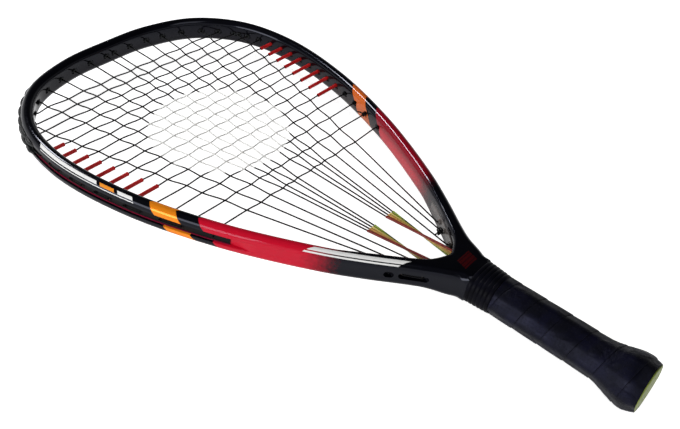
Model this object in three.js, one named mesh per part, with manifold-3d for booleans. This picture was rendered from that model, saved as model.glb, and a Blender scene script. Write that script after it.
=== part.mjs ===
// Racquetball racket: moulded hoop and shaft, woven strings, lined string ports and a wrapped handle.
// Millimetres. +Y runs from the butt to the tip, +X across the head, +Z square to the strings.
import * as THREE from 'three';
import { mergeVertices } from 'three/addons/utils/BufferGeometryUtils.js';
import Module from 'manifold-3d';

// Hoop and shaft
const overallLength = 558.8;
const hoopHalfWidth = 136.3;
const openingEndY = 167;
const beamWidth = 10.5;
const beamHeight = 21.4;
const grooveDepth = 3;
const grooveHalfHeight = 3.8;
const grooveLead = 4;
const grooveRunOut = 14;
const shallowGroove = 0.15;
const outlineShares = [
  [0, 1], [0.34, 0.994], [0.685, 0.952], [0.915, 0.862], [1, 0.735], [0.945, 0.565],
  [0.757, 0.37], [0.495, 0.1906], [0.384, 0.1303], [0.27, 0.075], [0.15, 0.025], [0.066, 0.0073], [0, 0],
];
const stationSpacing = 30;
const stationTurn = 7;
const stationMargin = 1.5;
const outlineSamples = 480;
const crownSteps = 4;

// Shoulders and shaft, as half width and half height at a height above the butt
const coreStartY = 9;
const coreHalfWidth = 11.8;
const coreHalfHeight = 9.8;
const coreCorner = 9;
const collarNeckY = 120.5;
const neckY = 145.4;
const neckHalfWidth = 14.2;
const neckHalfHeight = 10.8;
const neckCorner = 10.2;
const shoulderStartHalfWidth = 16.6;
const shoulderStartHalfHeight = 12.4;
const shoulderFlattenShare = 0.33;
const shoulderEndShare = 0.1624;
const shoulderSpreadShare = 0.4622;
const shoulderShares = [
  [0, 0], [0.05, 0.055], [0.22, 0.19], [0.4, 0.38], [0.55, 0.555], [0.68, 0.705], [0.83, 0.865], [1, 1],
];
const shoulderCorner = 5.2;
const cornerSteps = 3;

// String bed
const stringDiameter = 1.25;
const weaveLift = 0.95;
const stringSides = 4;
const mainsPerSide = 7;
const crossCount = 16;
const firstCrossShare = 0.3793;
const throatPitchShare = 0.0521;
const headPitchShare = 0.0312;
const pitchDecayShare = 0.63;
const mainHighShare = 0.8684;
const plainMainShares = [0.485, 0.387, 0.286];
const mainSpreadShares = [0.661, 0.525, 0.391, 0.278, 0.156, 0.037];
const outerMainRow = 14;
const outerMainShare = 0.633;
const wallMargin = 3;
const loopStep = 9;
const loopSidestep = 1.6;
const loopSidestepRun = 2.4;
const stackedLoopRise = 1.6;
const stackedPairs = 2;

// Ports, barrels, strips and tubes
const meshGap = 0.3;
const boreClearance = 0.8;
const barrelWall = 0.675;
const barrelSides = 6;
const barrelReach = 1.2;
const squarePortAngle = 22;
const stripThickness = 0.7;
const stripHalfHeight = 3.4;
const stripLead = 13;
const stripEndShare = 0.45;
const tubedFirst = 5;
const tubedLast = 12;
const redTubeWall = 0.575;
const tubeReachShare = 0.32;
const stringOverFloor = 2.35;

// Guard on the tip
const guardGap = 1.5;
const guardFloor = 0.9;
const guardChannelHalf = 2.6;
const guardLipHalf = 5.3;
const guardLow = 1.5;
const guardHigh = 2.3;
const guardTeeth = 25;

// Throat tubes and eyelet strips
const tubesPerBundle = 4;
const bundleTopShare = 0.1778;
const bundleTopX = 7.65;
const bundleWallX = 10;
const bundleGap = 0.8;
const stackGap = 1.3;
const slotRise = 8;
const throatBoreClearance = 0.35;
const throatTubeWall = 0.25;
const throatTubeSides = 6;
const tubeSink = 9;
const pocketDepth = 9;
const loopDrop = 2.6;
const eyeletShares = [0.0512, 0.0304, 0];
const eyeletLead = 4.1;
const eyeletStripGap = 2.4;
const eyeletStripTail = 21;
const eyeletStripHalfHeight = 4.4;
const eyeletStripThickness = 0.8;
const eyeletDiameter = 4.6;
const throatPortAngle = -38;
const eyeletHeight = 1.4;
const recessDepth = 2.6;
const recessHalfHeight = 2.6;
const recessRun = 3.6;

// Handle
const palletStartY = 8;
const palletEndY = 119;
const palletHalfWidth = 13.6;
const palletHalfHeight = 11.6;
const palletSplit = 0.3;
const gripHalfWidth = 16.2;
const gripHalfHeight = 14.2;
const gripEndY = 120.4;
const gripRimY = 3.2;
const wrapThickness = 1.7;
const wrapPitch = 21;
const wrapSeamY = 98;
const wrapLap = 0.5;
const wrapStationsPerTurn = 5;
const wrapSteps = 16;
const flareHalfWidth = 21.8;
const flareHalfHeight = 19.2;
const flareTopY = 38;
const flareShares = [
  [0, 0.62], [0.06, 0.86], [0.22, 1], [0.36, 0.86], [0.52, 0.52], [0.7, 0.2], [0.86, 0.05], [1, 0],
];
const capFloor = 4;
const capWall = 0.9;
const capTopY = 26;
const plugHalfWidth = 12;
const plugHalfHeight = 10;
const plugDepth = 2;
const domeDepth = 3.4;
const domeSteps = 4;
const collarEndY = 145;
const shoulderGap = 2;
const collarStartY = 120.8;
const collarWall = 1.1;
const collarRibs = 6;
const collarRibHeight = 0.9;
const ringSteps = 16;
const gripBevels = 8;
const bevelShare = 0.018;
const cutOverrun = 4;

// Values worked out from the sizes above
const boreDiameter = stringDiameter + boreClearance;
const barrelDiameter = boreDiameter + 2 * barrelWall;
const tubeDiameter = boreDiameter + 2 * redTubeWall;
const throatBoreDiameter = stringDiameter + throatBoreClearance;
const throatTubeDiameter = throatBoreDiameter + 2 * throatTubeWall;
const halfBeam = beamWidth / 2;
const crownRise = beamHeight / 2 - halfBeam;
const grooveFloor = halfBeam - grooveDepth + meshGap;
const tipCentreY = overallLength - guardHigh - halfBeam;
const throatCentreY = openingEndY - halfBeam;
const hoopLength = tipCentreY - throatCentreY;
const onLength = (share) => throatCentreY + share * hoopLength;
const shoulderStartY = collarEndY + shoulderGap;
const shoulderEndY = onLength(shoulderEndShare);
const shoulderEndHalfWidth = shoulderSpreadShare * hoopHalfWidth;
const bundleTopY = onLength(bundleTopShare);
const bundlePitch = throatTubeDiameter + bundleGap;
const stackPitch = throatTubeDiameter + stackGap;
const tubeEndY = openingEndY - tubeSink;
const stringRadius = stringDiameter / 2;
const stringLevel = halfBeam - grooveDepth + stringOverFloor;
const portRadius = (barrelDiameter / 2 + meshGap) / Math.cos(Math.PI / barrelSides);

const wasm = await Module();
wasm.setup();

const racket = new THREE.Group();

function material(color, roughness, metalness = 0) {
  return new THREE.MeshStandardMaterial({ color, roughness, metalness });
}
const carbon = material(0x0c0d12, 0.22, 0.1);
const nylonString = material(0x141414, 0.45);
const guardPlastic = material(0x15161a, 0.5);
const redPlastic = material(0xb3121f, 0.4);
const smokyPlastic = material(0x5b5552, 0.35);
const olivePlastic = material(0x8c9a3c, 0.4);
const yellowPlastic = material(0xd9c04a, 0.4);
const orangePlastic = material(0xd78a35, 0.4);
const brownPlastic = material(0x7a2a24, 0.4);
const foam = material(0xcfc8b8, 0.85);
const gripLeather = material(0x10111a, 0.7);
const collarRubber = material(0x101016, 0.65);
const limePlastic = material(0x9aa83f, 0.45);

function add(name, geometry, surface) {
  const mesh = new THREE.Mesh(geometry, surface);
  mesh.name = name;
  racket.add(mesh);
}

// Solids: a loft through rings of equal point counts, closed on itself or capped at both ends
function signedVolume(positions, indices) {
  const a = new THREE.Vector3();
  const b = new THREE.Vector3();
  const c = new THREE.Vector3();
  let sum = 0;
  for (let i = 0; i < indices.length; i += 3) {
    a.fromArray(positions, indices[i] * 3);
    b.fromArray(positions, indices[i + 1] * 3);
    c.fromArray(positions, indices[i + 2] * 3);
    sum += a.dot(b.cross(c));
  }
  return sum;
}

function loft(rings, { closed = false, section = null } = {}) {
  const count = rings[0].length;
  const positions = rings.flat().flatMap((p) => [p.x, p.y, p.z]);
  const indices = [];
  const spans = closed ? rings.length : rings.length - 1;
  for (let i = 0; i < spans; i += 1) {
    const low = i * count;
    const high = ((i + 1) % rings.length) * count;
    for (let j = 0; j < count; j += 1) {
      const k = (j + 1) % count;
      indices.push(low + j, low + k, high + k, low + j, high + k, high + j);
    }
  }
  if (!closed) {
    const last = (rings.length - 1) * count;
    const faces = section
      ? THREE.ShapeUtils.triangulateShape(section, [])
      : Array.from({ length: count - 2 }, (_, k) => [0, k + 1, k + 2]);
    const backward = section !== null && THREE.ShapeUtils.isClockWise(section);
    faces.forEach(([a, b, c]) => {
      const [p, q] = backward ? [c, b] : [b, c];
      indices.push(a, q, p, last + a, last + p, last + q);
    });
  }
  if (signedVolume(positions, indices) < 0) {
    for (let i = 0; i < indices.length; i += 3) {
      [indices[i], indices[i + 1]] = [indices[i + 1], indices[i]];
    }
  }
  const geometry = new THREE.BufferGeometry();
  geometry.setAttribute('position', new THREE.Float32BufferAttribute(positions, 3));
  geometry.setIndex(indices);
  return geometry;
}

function solid(geometry) {
  const bare = geometry.clone();
  bare.deleteAttribute('normal');
  bare.deleteAttribute('uv');
  const welded = mergeVertices(bare);
  return new wasm.Manifold(new wasm.Mesh({
    numProp: 3,
    vertProperties: Float32Array.from(welded.attributes.position.array),
    triVerts: Uint32Array.from(welded.index.array),
  }));
}

function unsolid(manifold) {
  const mesh = manifold.getMesh();
  const geometry = new THREE.BufferGeometry();
  const positions = [];
  for (let i = 0; i < mesh.numVert; i += 1) {
    const start = i * mesh.numProp;
    positions.push(...mesh.vertProperties.slice(start, start + 3));
  }
  geometry.setAttribute('position', new THREE.Float32BufferAttribute(positions, 3));
  geometry.setIndex(Array.from(mesh.triVerts));
  return geometry;
}

const joinAll = (solids) => solids.reduce((whole, piece) => whole.add(piece));
const cutAll = (whole, cuts) => whole.subtract(joinAll(cuts));

// Round bar of a few sides along a 3-D path, with mitred corners
function bar(path, radius, sides) {
  const first = path[1].clone().sub(path[0]).normalize();
  const up = Math.abs(first.z) > Math.SQRT1_2 ? new THREE.Vector3(1, 0, 0) : new THREE.Vector3(0, 0, 1);
  const right = new THREE.Vector3().crossVectors(first, up).normalize();
  const above = new THREE.Vector3().crossVectors(right, first);
  let ring = Array.from({ length: sides }, (_, k) => {
    const turn = 2 * Math.PI * (k + 0.5) / sides;
    const point = path[0].clone().addScaledVector(right, radius * Math.cos(turn));
    return point.addScaledVector(above, radius * Math.sin(turn));
  });
  const rings = [ring];
  for (let i = 1; i < path.length; i += 1) {
    const into = path[i].clone().sub(path[i - 1]).normalize();
    const out = i + 1 < path.length ? path[i + 1].clone().sub(path[i]).normalize() : into;
    const plane = into.clone().add(out).normalize();
    const centre = path[i];
    ring = ring.map((p) => p.clone().addScaledVector(into, centre.clone().sub(p).dot(plane) / into.dot(plane)));
    rings.push(ring);
  }
  return loft(rings);
}

const between = (a, b, share) => a + (b - a) * share;

// The same path, run on at both ends so that a cut passes the faces
function overrun(path) {
  const before = path[0].clone().sub(path[1]).setLength(cutOverrun);
  const after = path.at(-1).clone().sub(path.at(-2)).setLength(cutOverrun);
  return [path[0].clone().add(before), ...path.slice(1, -1), path.at(-1).clone().add(after)];
}

function pipe(path, outer, inner, sideCount) {
  return solid(bar(path, outer / 2, sideCount)).subtract(solid(bar(overrun(path), inner / 2, sideCount)));
}

// Centre line of the hoop: one smooth closed curve from the throat round the +X side and back
const rightHalf = [...outlineShares].reverse().map(([x, y]) => (
  new THREE.Vector3(x * hoopHalfWidth, onLength(y), 0)
));
const leftHalf = rightHalf.slice(1, -1).reverse().map((p) => new THREE.Vector3(-p.x, p.y, 0));
const centreCurve = new THREE.CatmullRomCurve3([...rightHalf, ...leftHalf], true, 'centripetal');
const samples = centreCurve.getSpacedPoints(outlineSamples).slice(0, outlineSamples);
const sampleNormals = samples.map((_, i) => {
  const ahead = samples[(i + 1) % outlineSamples];
  const behind = samples[(i + outlineSamples - 1) % outlineSamples];
  const along = ahead.clone().sub(behind).normalize();
  return new THREE.Vector3(along.y, -along.x, 0);
});
const halfRound = centreCurve.getLength() / 2;
const sampleStep = 2 * halfRound / outlineSamples;

// Place on the hoop at a distance along the centre line, with its outward normal
function onHoop(distance) {
  const spot = (distance / sampleStep + 2 * outlineSamples) % outlineSamples;
  const i = Math.floor(spot);
  const j = (i + 1) % outlineSamples;
  return {
    point: samples[i].clone().lerp(samples[j], spot - i),
    normal: sampleNormals[i].clone().lerp(sampleNormals[j], spot - i).normalize(),
  };
}

const hoopPoint = (distance, out, z = 0) => {
  const { point, normal } = onHoop(distance);
  return point.addScaledVector(normal, out).setZ(z);
};

// Distance along the +X half at which a quantity that rises or falls steadily reaches zero
function distanceWhere(gauge, from = 0, to = halfRound) {
  let low = from;
  let high = to;
  const rising = gauge(high) > gauge(low);
  for (let i = 0; i < 40; i += 1) {
    const middle = (low + high) / 2;
    if ((gauge(middle) > 0) === rising) high = middle;
    else low = middle;
  }
  return (low + high) / 2;
}

const distanceAtY = (y, out) => distanceWhere((d) => hoopPoint(d, out).y - y);

// Hoop section: a tall stadium with the string groove in its outer flank
function beamSection(depth) {
  const points = [];
  for (let i = 0; i <= crownSteps; i += 1) {
    const turn = Math.PI * i / crownSteps;
    points.push([halfBeam * Math.cos(turn), crownRise + halfBeam * Math.sin(turn)]);
  }
  for (let i = 0; i <= crownSteps; i += 1) {
    const turn = Math.PI + Math.PI * i / crownSteps;
    points.push([halfBeam * Math.cos(turn), -crownRise + halfBeam * Math.sin(turn)]);
  }
  points.push([halfBeam, -grooveHalfHeight], [halfBeam - depth, -grooveHalfHeight]);
  points.push([halfBeam - depth, grooveHalfHeight], [halfBeam, grooveHalfHeight]);
  return points;
}

const sweepRing = (distance, section) => section.map(([out, z]) => hoopPoint(distance, out, z));

// Stations round the hoop: one for every so many millimetres and degrees that the centre line covers
const stations = (() => {
  const weights = samples.map((_, i) => {
    const turn = sampleNormals[i].angleTo(sampleNormals[(i + 1) % outlineSamples]);
    return sampleStep / stationSpacing + THREE.MathUtils.radToDeg(turn) / stationTurn;
  });
  const total = weights.reduce((sum, w) => sum + w, 0);
  const count = 2 * Math.round(total / 2);
  const list = [];
  let passed = 0;
  weights.forEach((w, i) => {
    while (list.length < count && list.length * total / count < passed + w) {
      list.push((i + (list.length * total / count - passed) / w) * sampleStep);
    }
    passed += w;
  });
  return list;
})();
function stationsBetween(start, end) {
  return [start, ...stations.filter((d) => d > start + stationMargin && d < end - stationMargin), end];
}

// The beam's groove is shallow along the legs and runs out to its full depth below the first strip
function hoopBeam(stripStart) {
  const grooveFull = stripStart - grooveLead;
  const grooveStart = grooveFull - grooveRunOut;
  const marks = [grooveStart, grooveFull, 2 * halfRound - grooveFull, 2 * halfRound - grooveStart];
  const free = stations.filter((d) => marks.every((mark) => Math.abs(mark - d) > stationMargin));
  const rings = [...free, ...marks].sort((a, b) => a - b).map((distance) => {
    const fromThroat = Math.min(distance, 2 * halfRound - distance);
    const rise = Math.min(1, Math.max(0, (fromThroat - grooveStart) / grooveRunOut));
    return sweepRing(distance, beamSection(between(shallowGroove, grooveDepth, rise)));
  });
  return solid(loft(rings, { closed: true }));
}

// Rounded-rectangle ring across the racket at a height y
function roundedRing(y, halfWidth, halfHeight, corner) {
  const points = [];
  for (let quarter = 0; quarter < 4; quarter += 1) {
    const sideX = quarter === 0 || quarter === 3 ? 1 : -1;
    const sideZ = quarter < 2 ? 1 : -1;
    for (let i = 0; i <= cornerSteps; i += 1) {
      const turn = (quarter + i / cornerSteps) * Math.PI / 2;
      const x = sideX * (halfWidth - corner) + corner * Math.cos(turn);
      points.push(new THREE.Vector3(x, y, sideZ * (halfHeight - corner) + corner * Math.sin(turn)));
    }
  }
  return points;
}

// Shoulders: half width of the moulding from the neck up to where it runs into the hoop's legs
const shoulderOutline = shoulderShares.map(([rise, spread]) => ({
  y: between(shoulderStartY, shoulderEndY, rise),
  halfWidth: between(shoulderStartHalfWidth, shoulderEndHalfWidth, spread),
  halfHeight: between(shoulderStartHalfHeight, beamHeight / 2, Math.min(1, rise / shoulderFlattenShare)),
  corner: shoulderCorner,
}));

function shaftAndShoulders() {
  const profile = [
    { y: coreStartY, halfWidth: coreHalfWidth, halfHeight: coreHalfHeight, corner: coreCorner },
    { y: collarNeckY, halfWidth: coreHalfWidth, halfHeight: coreHalfHeight, corner: coreCorner },
    { y: neckY, halfWidth: neckHalfWidth, halfHeight: neckHalfHeight, corner: neckCorner },
    ...shoulderOutline,
  ];
  const rings = profile.map((s) => roundedRing(s.y, s.halfWidth, s.halfHeight, s.corner));
  const opening = new THREE.Shape(samples.map((p) => new THREE.Vector2(p.x, p.y)));
  const prism = new THREE.ExtrudeGeometry(opening, { depth: 2 * beamHeight, bevelEnabled: false });
  prism.translate(0, 0, -beamHeight);
  return solid(loft(rings)).subtract(solid(prism));
}

// String ports on the +X side: a port follows its string, or runs square to a wall that the string grazes
function portAt(distance, along) {
  const { normal } = onHoop(distance);
  const grazing = along.angleTo(normal) > THREE.MathUtils.degToRad(squarePortAngle);
  return { inner: hoopPoint(distance, -halfBeam), direction: grazing ? normal : along, normal, distance };
}

const portPoint = (port, out, side = 1, z = 0) => {
  const depth = (out + halfBeam) / port.direction.dot(port.normal);
  const point = port.inner.clone().addScaledVector(port.direction, depth);
  return new THREE.Vector3(side * point.x, point.y, z);
};

// Cross strings: rows whose pitch shrinks from the throat to the head
const crossRows = [];
for (let i = 0, share = firstCrossShare; i < crossCount; i += 1) {
  crossRows.push(onLength(share));
  share += between(headPitchShare, throatPitchShare, pitchDecayShare ** i);
}
const firstCrossY = crossRows[0];
const mainHighY = onLength(mainHighShare);
const crossPorts = crossRows.map((y) => portAt(distanceAtY(y, -halfBeam), new THREE.Vector3(1, 0, 0)));

// Main strings: straight lines from the throat to the tip, outermost pair first
const plainMains = plainMainShares.length;
const bundleX = (order) => bundleTopX + (tubesPerBundle - 1 - order) * bundlePitch;
const outerMainHigh = hoopPoint(
  between(crossPorts[outerMainRow - 1].distance, crossPorts[outerMainRow].distance, outerMainShare),
  -halfBeam,
);
const innerMainHighs = mainSpreadShares.map((x) => new THREE.Vector3(x * hoopHalfWidth, mainHighY, 0));
const mainLines = [outerMainHigh, ...innerMainHighs].map((high, pair) => {
  const low = pair < plainMains
    ? new THREE.Vector3(plainMainShares[pair] * hoopHalfWidth, firstCrossY, 0)
    : new THREE.Vector3(bundleX(pair - plainMains), bundleTopY, 0);
  return { low, high, along: high.clone().sub(low).normalize() };
});
const mainX = (pair, y) => {
  const { low, high } = mainLines[pair];
  return between(low.x, high.x, (y - low.y) / (high.y - low.y));
};

// Where a main meets the head's inner wall, above the widest part of the hoop
const widest = distanceAtY(onLength(outlineShares.find(([x]) => x === 1)[1]), 0);

function tipPort(line) {
  const across = new THREE.Vector3(-line.along.y, line.along.x, 0);
  const distance = distanceWhere((d) => hoopPoint(d, -halfBeam).sub(line.low).dot(across), widest, halfRound);
  return portAt(distance, line.along);
}

// Half width of the slot that takes a fan of tubes, and the eyelet strip that starts clear of it
const slotHalfWidth = (() => {
  const fan = Math.max(Math.abs(bundleX(0) - bundleWallX), Math.abs(bundleX(tubesPerBundle - 1) - bundleWallX));
  const risen = (openingEndY + slotRise - tubeEndY) / (bundleTopY - tubeEndY);
  return throatTubeDiameter / 2 + meshGap + fan * risen;
})();

const eyeletStripTop = -halfBeam - meshGap;
const eyeletStripLow = eyeletStripTop - eyeletStripThickness;
const eyeletStripStart = distanceWhere((d) => (
  hoopPoint(d, eyeletStripLow).x - bundleWallX - slotHalfWidth - eyeletStripGap
), 0, widest);

// Where a plain main leaves through the shoulder: at its eyelet, drilled down and outwards
function throatPort(share) {
  const distance = eyeletStripStart + eyeletLead + share * halfRound;
  const tilt = THREE.MathUtils.degToRad(throatPortAngle);
  const direction = new THREE.Vector3(Math.cos(tilt), Math.sin(tilt), 0);
  return { inner: hoopPoint(distance, -halfBeam), direction, normal: onHoop(distance).normal, distance };
}

const tipPorts = mainLines.map(tipPort);
const throatPorts = eyeletShares.map(throatPort);

// Where a throat port comes out through the shoulder's outer wall
function shoulderExit(port) {
  let out = 2 * halfBeam;
  const wallAt = (y) => {
    const upper = shoulderOutline.findIndex((s) => s.y > y);
    if (upper < 1) return upper < 0 ? 0 : shoulderOutline[0].halfWidth;
    const [a, b] = [shoulderOutline[upper - 1], shoulderOutline[upper]];
    return between(a.halfWidth, b.halfWidth, (y - a.y) / (b.y - a.y));
  };
  const inside = (t) => {
    const p = port.inner.clone().addScaledVector(port.direction, t);
    return p.x < wallAt(p.y);
  };
  while (inside(out)) out += stringRadius / 2;
  return port.inner.clone().addScaledVector(port.direction, out);
}
const throatExits = throatPorts.map(shoulderExit);
const recessFloor = throatPorts.map((port, i) => (
  throatExits[i].clone().addScaledVector(port.direction, -recessDepth)
));

const flip = (p, side) => new THREE.Vector3(side * p.x, p.y, p.z);
const sides = [-1, 1];
const sideName = (side) => (side < 0 ? 'left' : 'right');

function drill(start, end, radius, sideCount = barrelSides) {
  const run = end.clone().sub(start).normalize().multiplyScalar(cutOverrun);
  return solid(bar([start.clone().sub(run), end.clone().add(run)], radius, sideCount));
}

const tubedRows = crossRows.map((_, i) => i).filter((i) => i + 1 >= tubedFirst && i + 1 <= tubedLast);
const shortRows = crossRows.map((_, i) => i).filter((i) => i + 1 < tubedFirst);
const guardRows = crossRows.map((_, i) => i).filter((i) => i + 1 > tubedLast);
const stripStart = crossPorts[0].distance - stripLead;
const stripEnd = between(crossPorts[tubedLast - 1].distance, crossPorts[tubedLast].distance, stripEndShare);
const guardStart = stripEnd + guardGap;

// Upright slots in the throat: each takes a stack of four tubes and the strings that turn back below them
function throatSlot(side) {
  const halfHeight = throatTubeDiameter / 2 + meshGap + stackPitch * (tubesPerBundle - 1) / 2;
  const bottom = tubeEndY - pocketDepth;
  const height = openingEndY + slotRise - bottom;
  const box = new THREE.BoxGeometry(2 * slotHalfWidth, height, 2 * halfHeight);
  box.translate(side * bundleWallX, bottom + height / 2, 0);
  return solid(box);
}

// Oblong recess on a shoulder for the string that turns back between two ports
function shoulderRecess(from, to, outward) {
  const along = to.clone().sub(from);
  const run = along.length() / 2 + recessRun - recessHalfHeight;
  along.normalize();
  const centre = from.clone().add(to).multiplyScalar(0.5);
  const ring = (lift) => Array.from({ length: ringSteps / 2 }, (_, i) => {
    const turn = 2 * Math.PI * (i + 0.5) / (ringSteps / 2);
    const shift = Math.sign(Math.cos(turn)) * run + recessHalfHeight * Math.cos(turn);
    return centre.clone().addScaledVector(along, shift).addScaledVector(outward, lift)
      .setZ(recessHalfHeight * Math.sin(turn));
  });
  return [ring(0), ring(recessDepth + cutOverrun)];
}

function frameSolid() {
  const cuts = sides.map(throatSlot);
  sides.forEach((side) => {
    [...crossPorts, ...tipPorts].forEach((port) => {
      cuts.push(drill(portPoint(port, -halfBeam, side), portPoint(port, halfBeam, side), portRadius));
    });
    throatPorts.forEach((port, i) => {
      cuts.push(drill(flip(port.inner, side), flip(throatExits[i], side), portRadius));
    });
    const outward = throatPorts[1].direction;
    const pairs = [[recessFloor[0], recessFloor[0]], [recessFloor[1], recessFloor[2]]];
    pairs.forEach(([from, to]) => {
      const end = to === from ? to.clone().add(new THREE.Vector3(0, stringRadius, 0)) : to;
      const rings = shoulderRecess(from, end, outward);
      cuts.push(solid(loft(rings.map((ring) => ring.map((p) => flip(p, side))))));
    });
  });
  return cutAll(hoopBeam(stripStart).add(shaftAndShoulders()), cuts);
}

// Strips in the groove, with short barrels at the lower rows and holes for the red tubes
function strip(start, end, low, high, halfHeight, side) {
  const section = [[low, -halfHeight], [high, -halfHeight], [high, halfHeight], [low, halfHeight]];
  const rings = stationsBetween(start, end).map((d) => sweepRing(d, section).map((p) => flip(p, side)));
  return solid(loft(rings));
}

function sideStrip(side) {
  const top = grooveFloor + stripThickness;
  const body = strip(stripStart, stripEnd, grooveFloor, top, stripHalfHeight, side);
  const ends = (i, out) => [portPoint(crossPorts[i], out, side), portPoint(crossPorts[i], top, side)];
  const mouth = -halfBeam - barrelReach;
  const barrels = shortRows.map((i) => solid(bar(ends(i, mouth), barrelDiameter / 2, barrelSides)));
  const holes = [
    ...shortRows.map((i) => drill(...ends(i, mouth), boreDiameter / 2)),
    ...tubedRows.map((i) => drill(...ends(i, grooveFloor), tubeDiameter / 2 + meshGap)),
  ];
  return unsolid(cutAll(joinAll([body, ...barrels]), holes));
}

// Ribbed guard round the tip: a channel in the groove with a toothed rail on each side of the strings
function guardSection(height) {
  const top = grooveFloor + guardFloor;
  const wall = grooveHalfHeight - meshGap;
  const seat = halfBeam + meshGap;
  const crest = halfBeam + height;
  const upper = [[grooveFloor, wall], [seat, wall], [seat, guardLipHalf],
    [crest, guardLipHalf - meshGap], [crest, guardChannelHalf], [top, guardChannelHalf]];
  const lower = upper.map(([out, z]) => [out, -z]).reverse();
  return [...upper, ...lower];
}

function tipGuard() {
  const heights = [guardLow, guardHigh, guardHigh];
  const steps = guardTeeth * heights.length;
  const rings = Array.from({ length: steps + 1 }, (_, i) => {
    const distance = between(guardStart, 2 * halfRound - guardStart, i / steps);
    return sweepRing(distance, guardSection(heights[i % heights.length]));
  });
  const section = guardSection(guardLow).map(([out, z]) => new THREE.Vector2(out, z));
  const body = solid(loft(rings, { section }));
  const top = grooveFloor + guardFloor;
  const barrels = [];
  const bores = [];
  sides.forEach((side) => {
    [...guardRows.map((i) => crossPorts[i]), ...tipPorts].forEach((port) => {
      const ends = (low, high) => [portPoint(port, -halfBeam - low, side), portPoint(port, high, side)];
      barrels.push(solid(bar(ends(barrelReach, top), barrelDiameter / 2, barrelSides)));
      bores.push(solid(bar(ends(barrelReach + cutOverrun, top + meshGap), boreDiameter / 2, barrelSides)));
    });
  });
  return unsolid(cutAll(joinAll([body, ...barrels]), bores));
}

// Red tubes reach from the strip through the wall towards the outermost main
const tubeMouth = (row) => {
  const y = crossRows[row];
  return new THREE.Vector3(between(mainX(0, y), crossPorts[row].inner.x, tubeReachShare), y, 0);
};

function redTube(row, side) {
  const port = crossPorts[row];
  const strip = portPoint(port, grooveFloor + stripThickness, side);
  const path = [flip(tubeMouth(row), side), portPoint(port, -halfBeam, side), strip];
  return unsolid(pipe(path, tubeDiameter, boreDiameter, barrelSides));
}

// Throat: eyelet strips on the inner wall and two fans of four tubes
function eyeletStrip(side) {
  const end = throatPorts[0].distance + eyeletStripTail;
  const pieces = [strip(eyeletStripStart, end, eyeletStripLow, eyeletStripTop, eyeletStripHalfHeight, side)];
  const bores = [];
  throatPorts.forEach((port, i) => {
    const mouth = portPoint(port, eyeletStripLow - eyeletHeight, side);
    const floor = flip(recessFloor[i], side);
    pieces.push(solid(bar([mouth, portPoint(port, eyeletStripTop, side)], eyeletDiameter / 2, barrelSides)));
    pieces.push(solid(bar([portPoint(port, eyeletStripLow, side), floor], barrelDiameter / 2, barrelSides)));
    bores.push(drill(mouth, floor, boreDiameter / 2));
  });
  return unsolid(cutAll(joinAll(pieces), bores));
}

// The tubes of a bundle lie side by side at the top and one above the other at the wall
const tubeLine = (order, side) => [
  new THREE.Vector3(side * bundleX(order), bundleTopY, 0),
  new THREE.Vector3(side * bundleWallX, tubeEndY, side * (order - (tubesPerBundle - 1) / 2) * stackPitch),
];

// Main string: one length that runs up and down every main, turning back in the groove or the throat
function crossingsOf(pair) {
  const rows = [];
  crossRows.forEach((y, row) => {
    const x = mainX(pair, y);
    if (x < crossPorts[row].inner.x - wallMargin && y < tipPorts[pair].inner.y - wallMargin) rows.push(row);
  });
  return rows;
}
const weaveSide = (column, row) => ((column + row) % 2 ? 1 : -1);

// Path from one port to the next along the groove, at a level over the beam's centre line
function grooveRun(from, to, out, sidestep) {
  const steps = Math.max(1, Math.round(Math.abs(to - from) / loopStep));
  const points = [];
  if (sidestep) {
    const near = from + Math.sign(to - from) * loopSidestepRun;
    const far = to - Math.sign(to - from) * loopSidestepRun;
    return [0, 0.5, 1].map((share) => hoopPoint(between(near, far, share), out, -sidestep));
  }
  for (let i = 1; i < steps; i += 1) points.push(hoopPoint(between(from, to, i / steps), out));
  return points;
}

const fullDistance = (port, side) => {
  const exit = portPoint(port, stringLevel);
  const own = distanceWhere((d) => {
    const { point, normal } = onHoop(d);
    return point.sub(exit).dot(new THREE.Vector3(-normal.y, normal.x, 0));
  });
  return side > 0 ? own : 2 * halfRound - own;
};

function mainPath() {
  const path = [];
  const columns = 2 * mainsPerSide;
  for (let column = 0; column < columns; column += 1) {
    const side = column < mainsPerSide ? -1 : 1;
    const pair = side < 0 ? column : columns - 1 - column;
    const up = column % 2 === 0;
    const level = stringLevel + (pair < stackedPairs ? stackedLoopRise : 0);
    const run = [];
    if (pair < plainMains) {
      const end = flip(recessFloor[pair], side);
      run.push(end.addScaledVector(flip(throatPorts[pair].direction, side), stringRadius + meshGap * 2));
      const mouth = halfBeam + eyeletHeight + eyeletStripThickness + 2 * meshGap;
      run.push(portPoint(throatPorts[pair], -mouth, side));
    } else {
      const [top, bottom] = tubeLine(pair - plainMains, side);
      const drop = bottom.clone().sub(top).normalize().multiplyScalar(loopDrop);
      run.push(bottom.clone().add(drop), top);
    }
    crossingsOf(pair).forEach((row) => {
      const x = side * mainX(pair, crossRows[row]);
      run.push(new THREE.Vector3(x, crossRows[row], weaveLift * weaveSide(column, row)));
    });
    const port = tipPorts[pair];
    run.push(portPoint(port, -halfBeam - 2 * barrelReach, side), portPoint(port, level, side));
    if (!up) run.reverse();
    path.push(...run);
    const next = column + 1;
    if (up && next < columns) {
      const nextPair = next < mainsPerSide ? next : columns - 1 - next;
      const nextSide = next < mainsPerSide ? -1 : 1;
      path.push(...grooveRun(fullDistance(port, side), fullDistance(tipPorts[nextPair], nextSide), level));
    }
  }
  return path;
}

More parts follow.
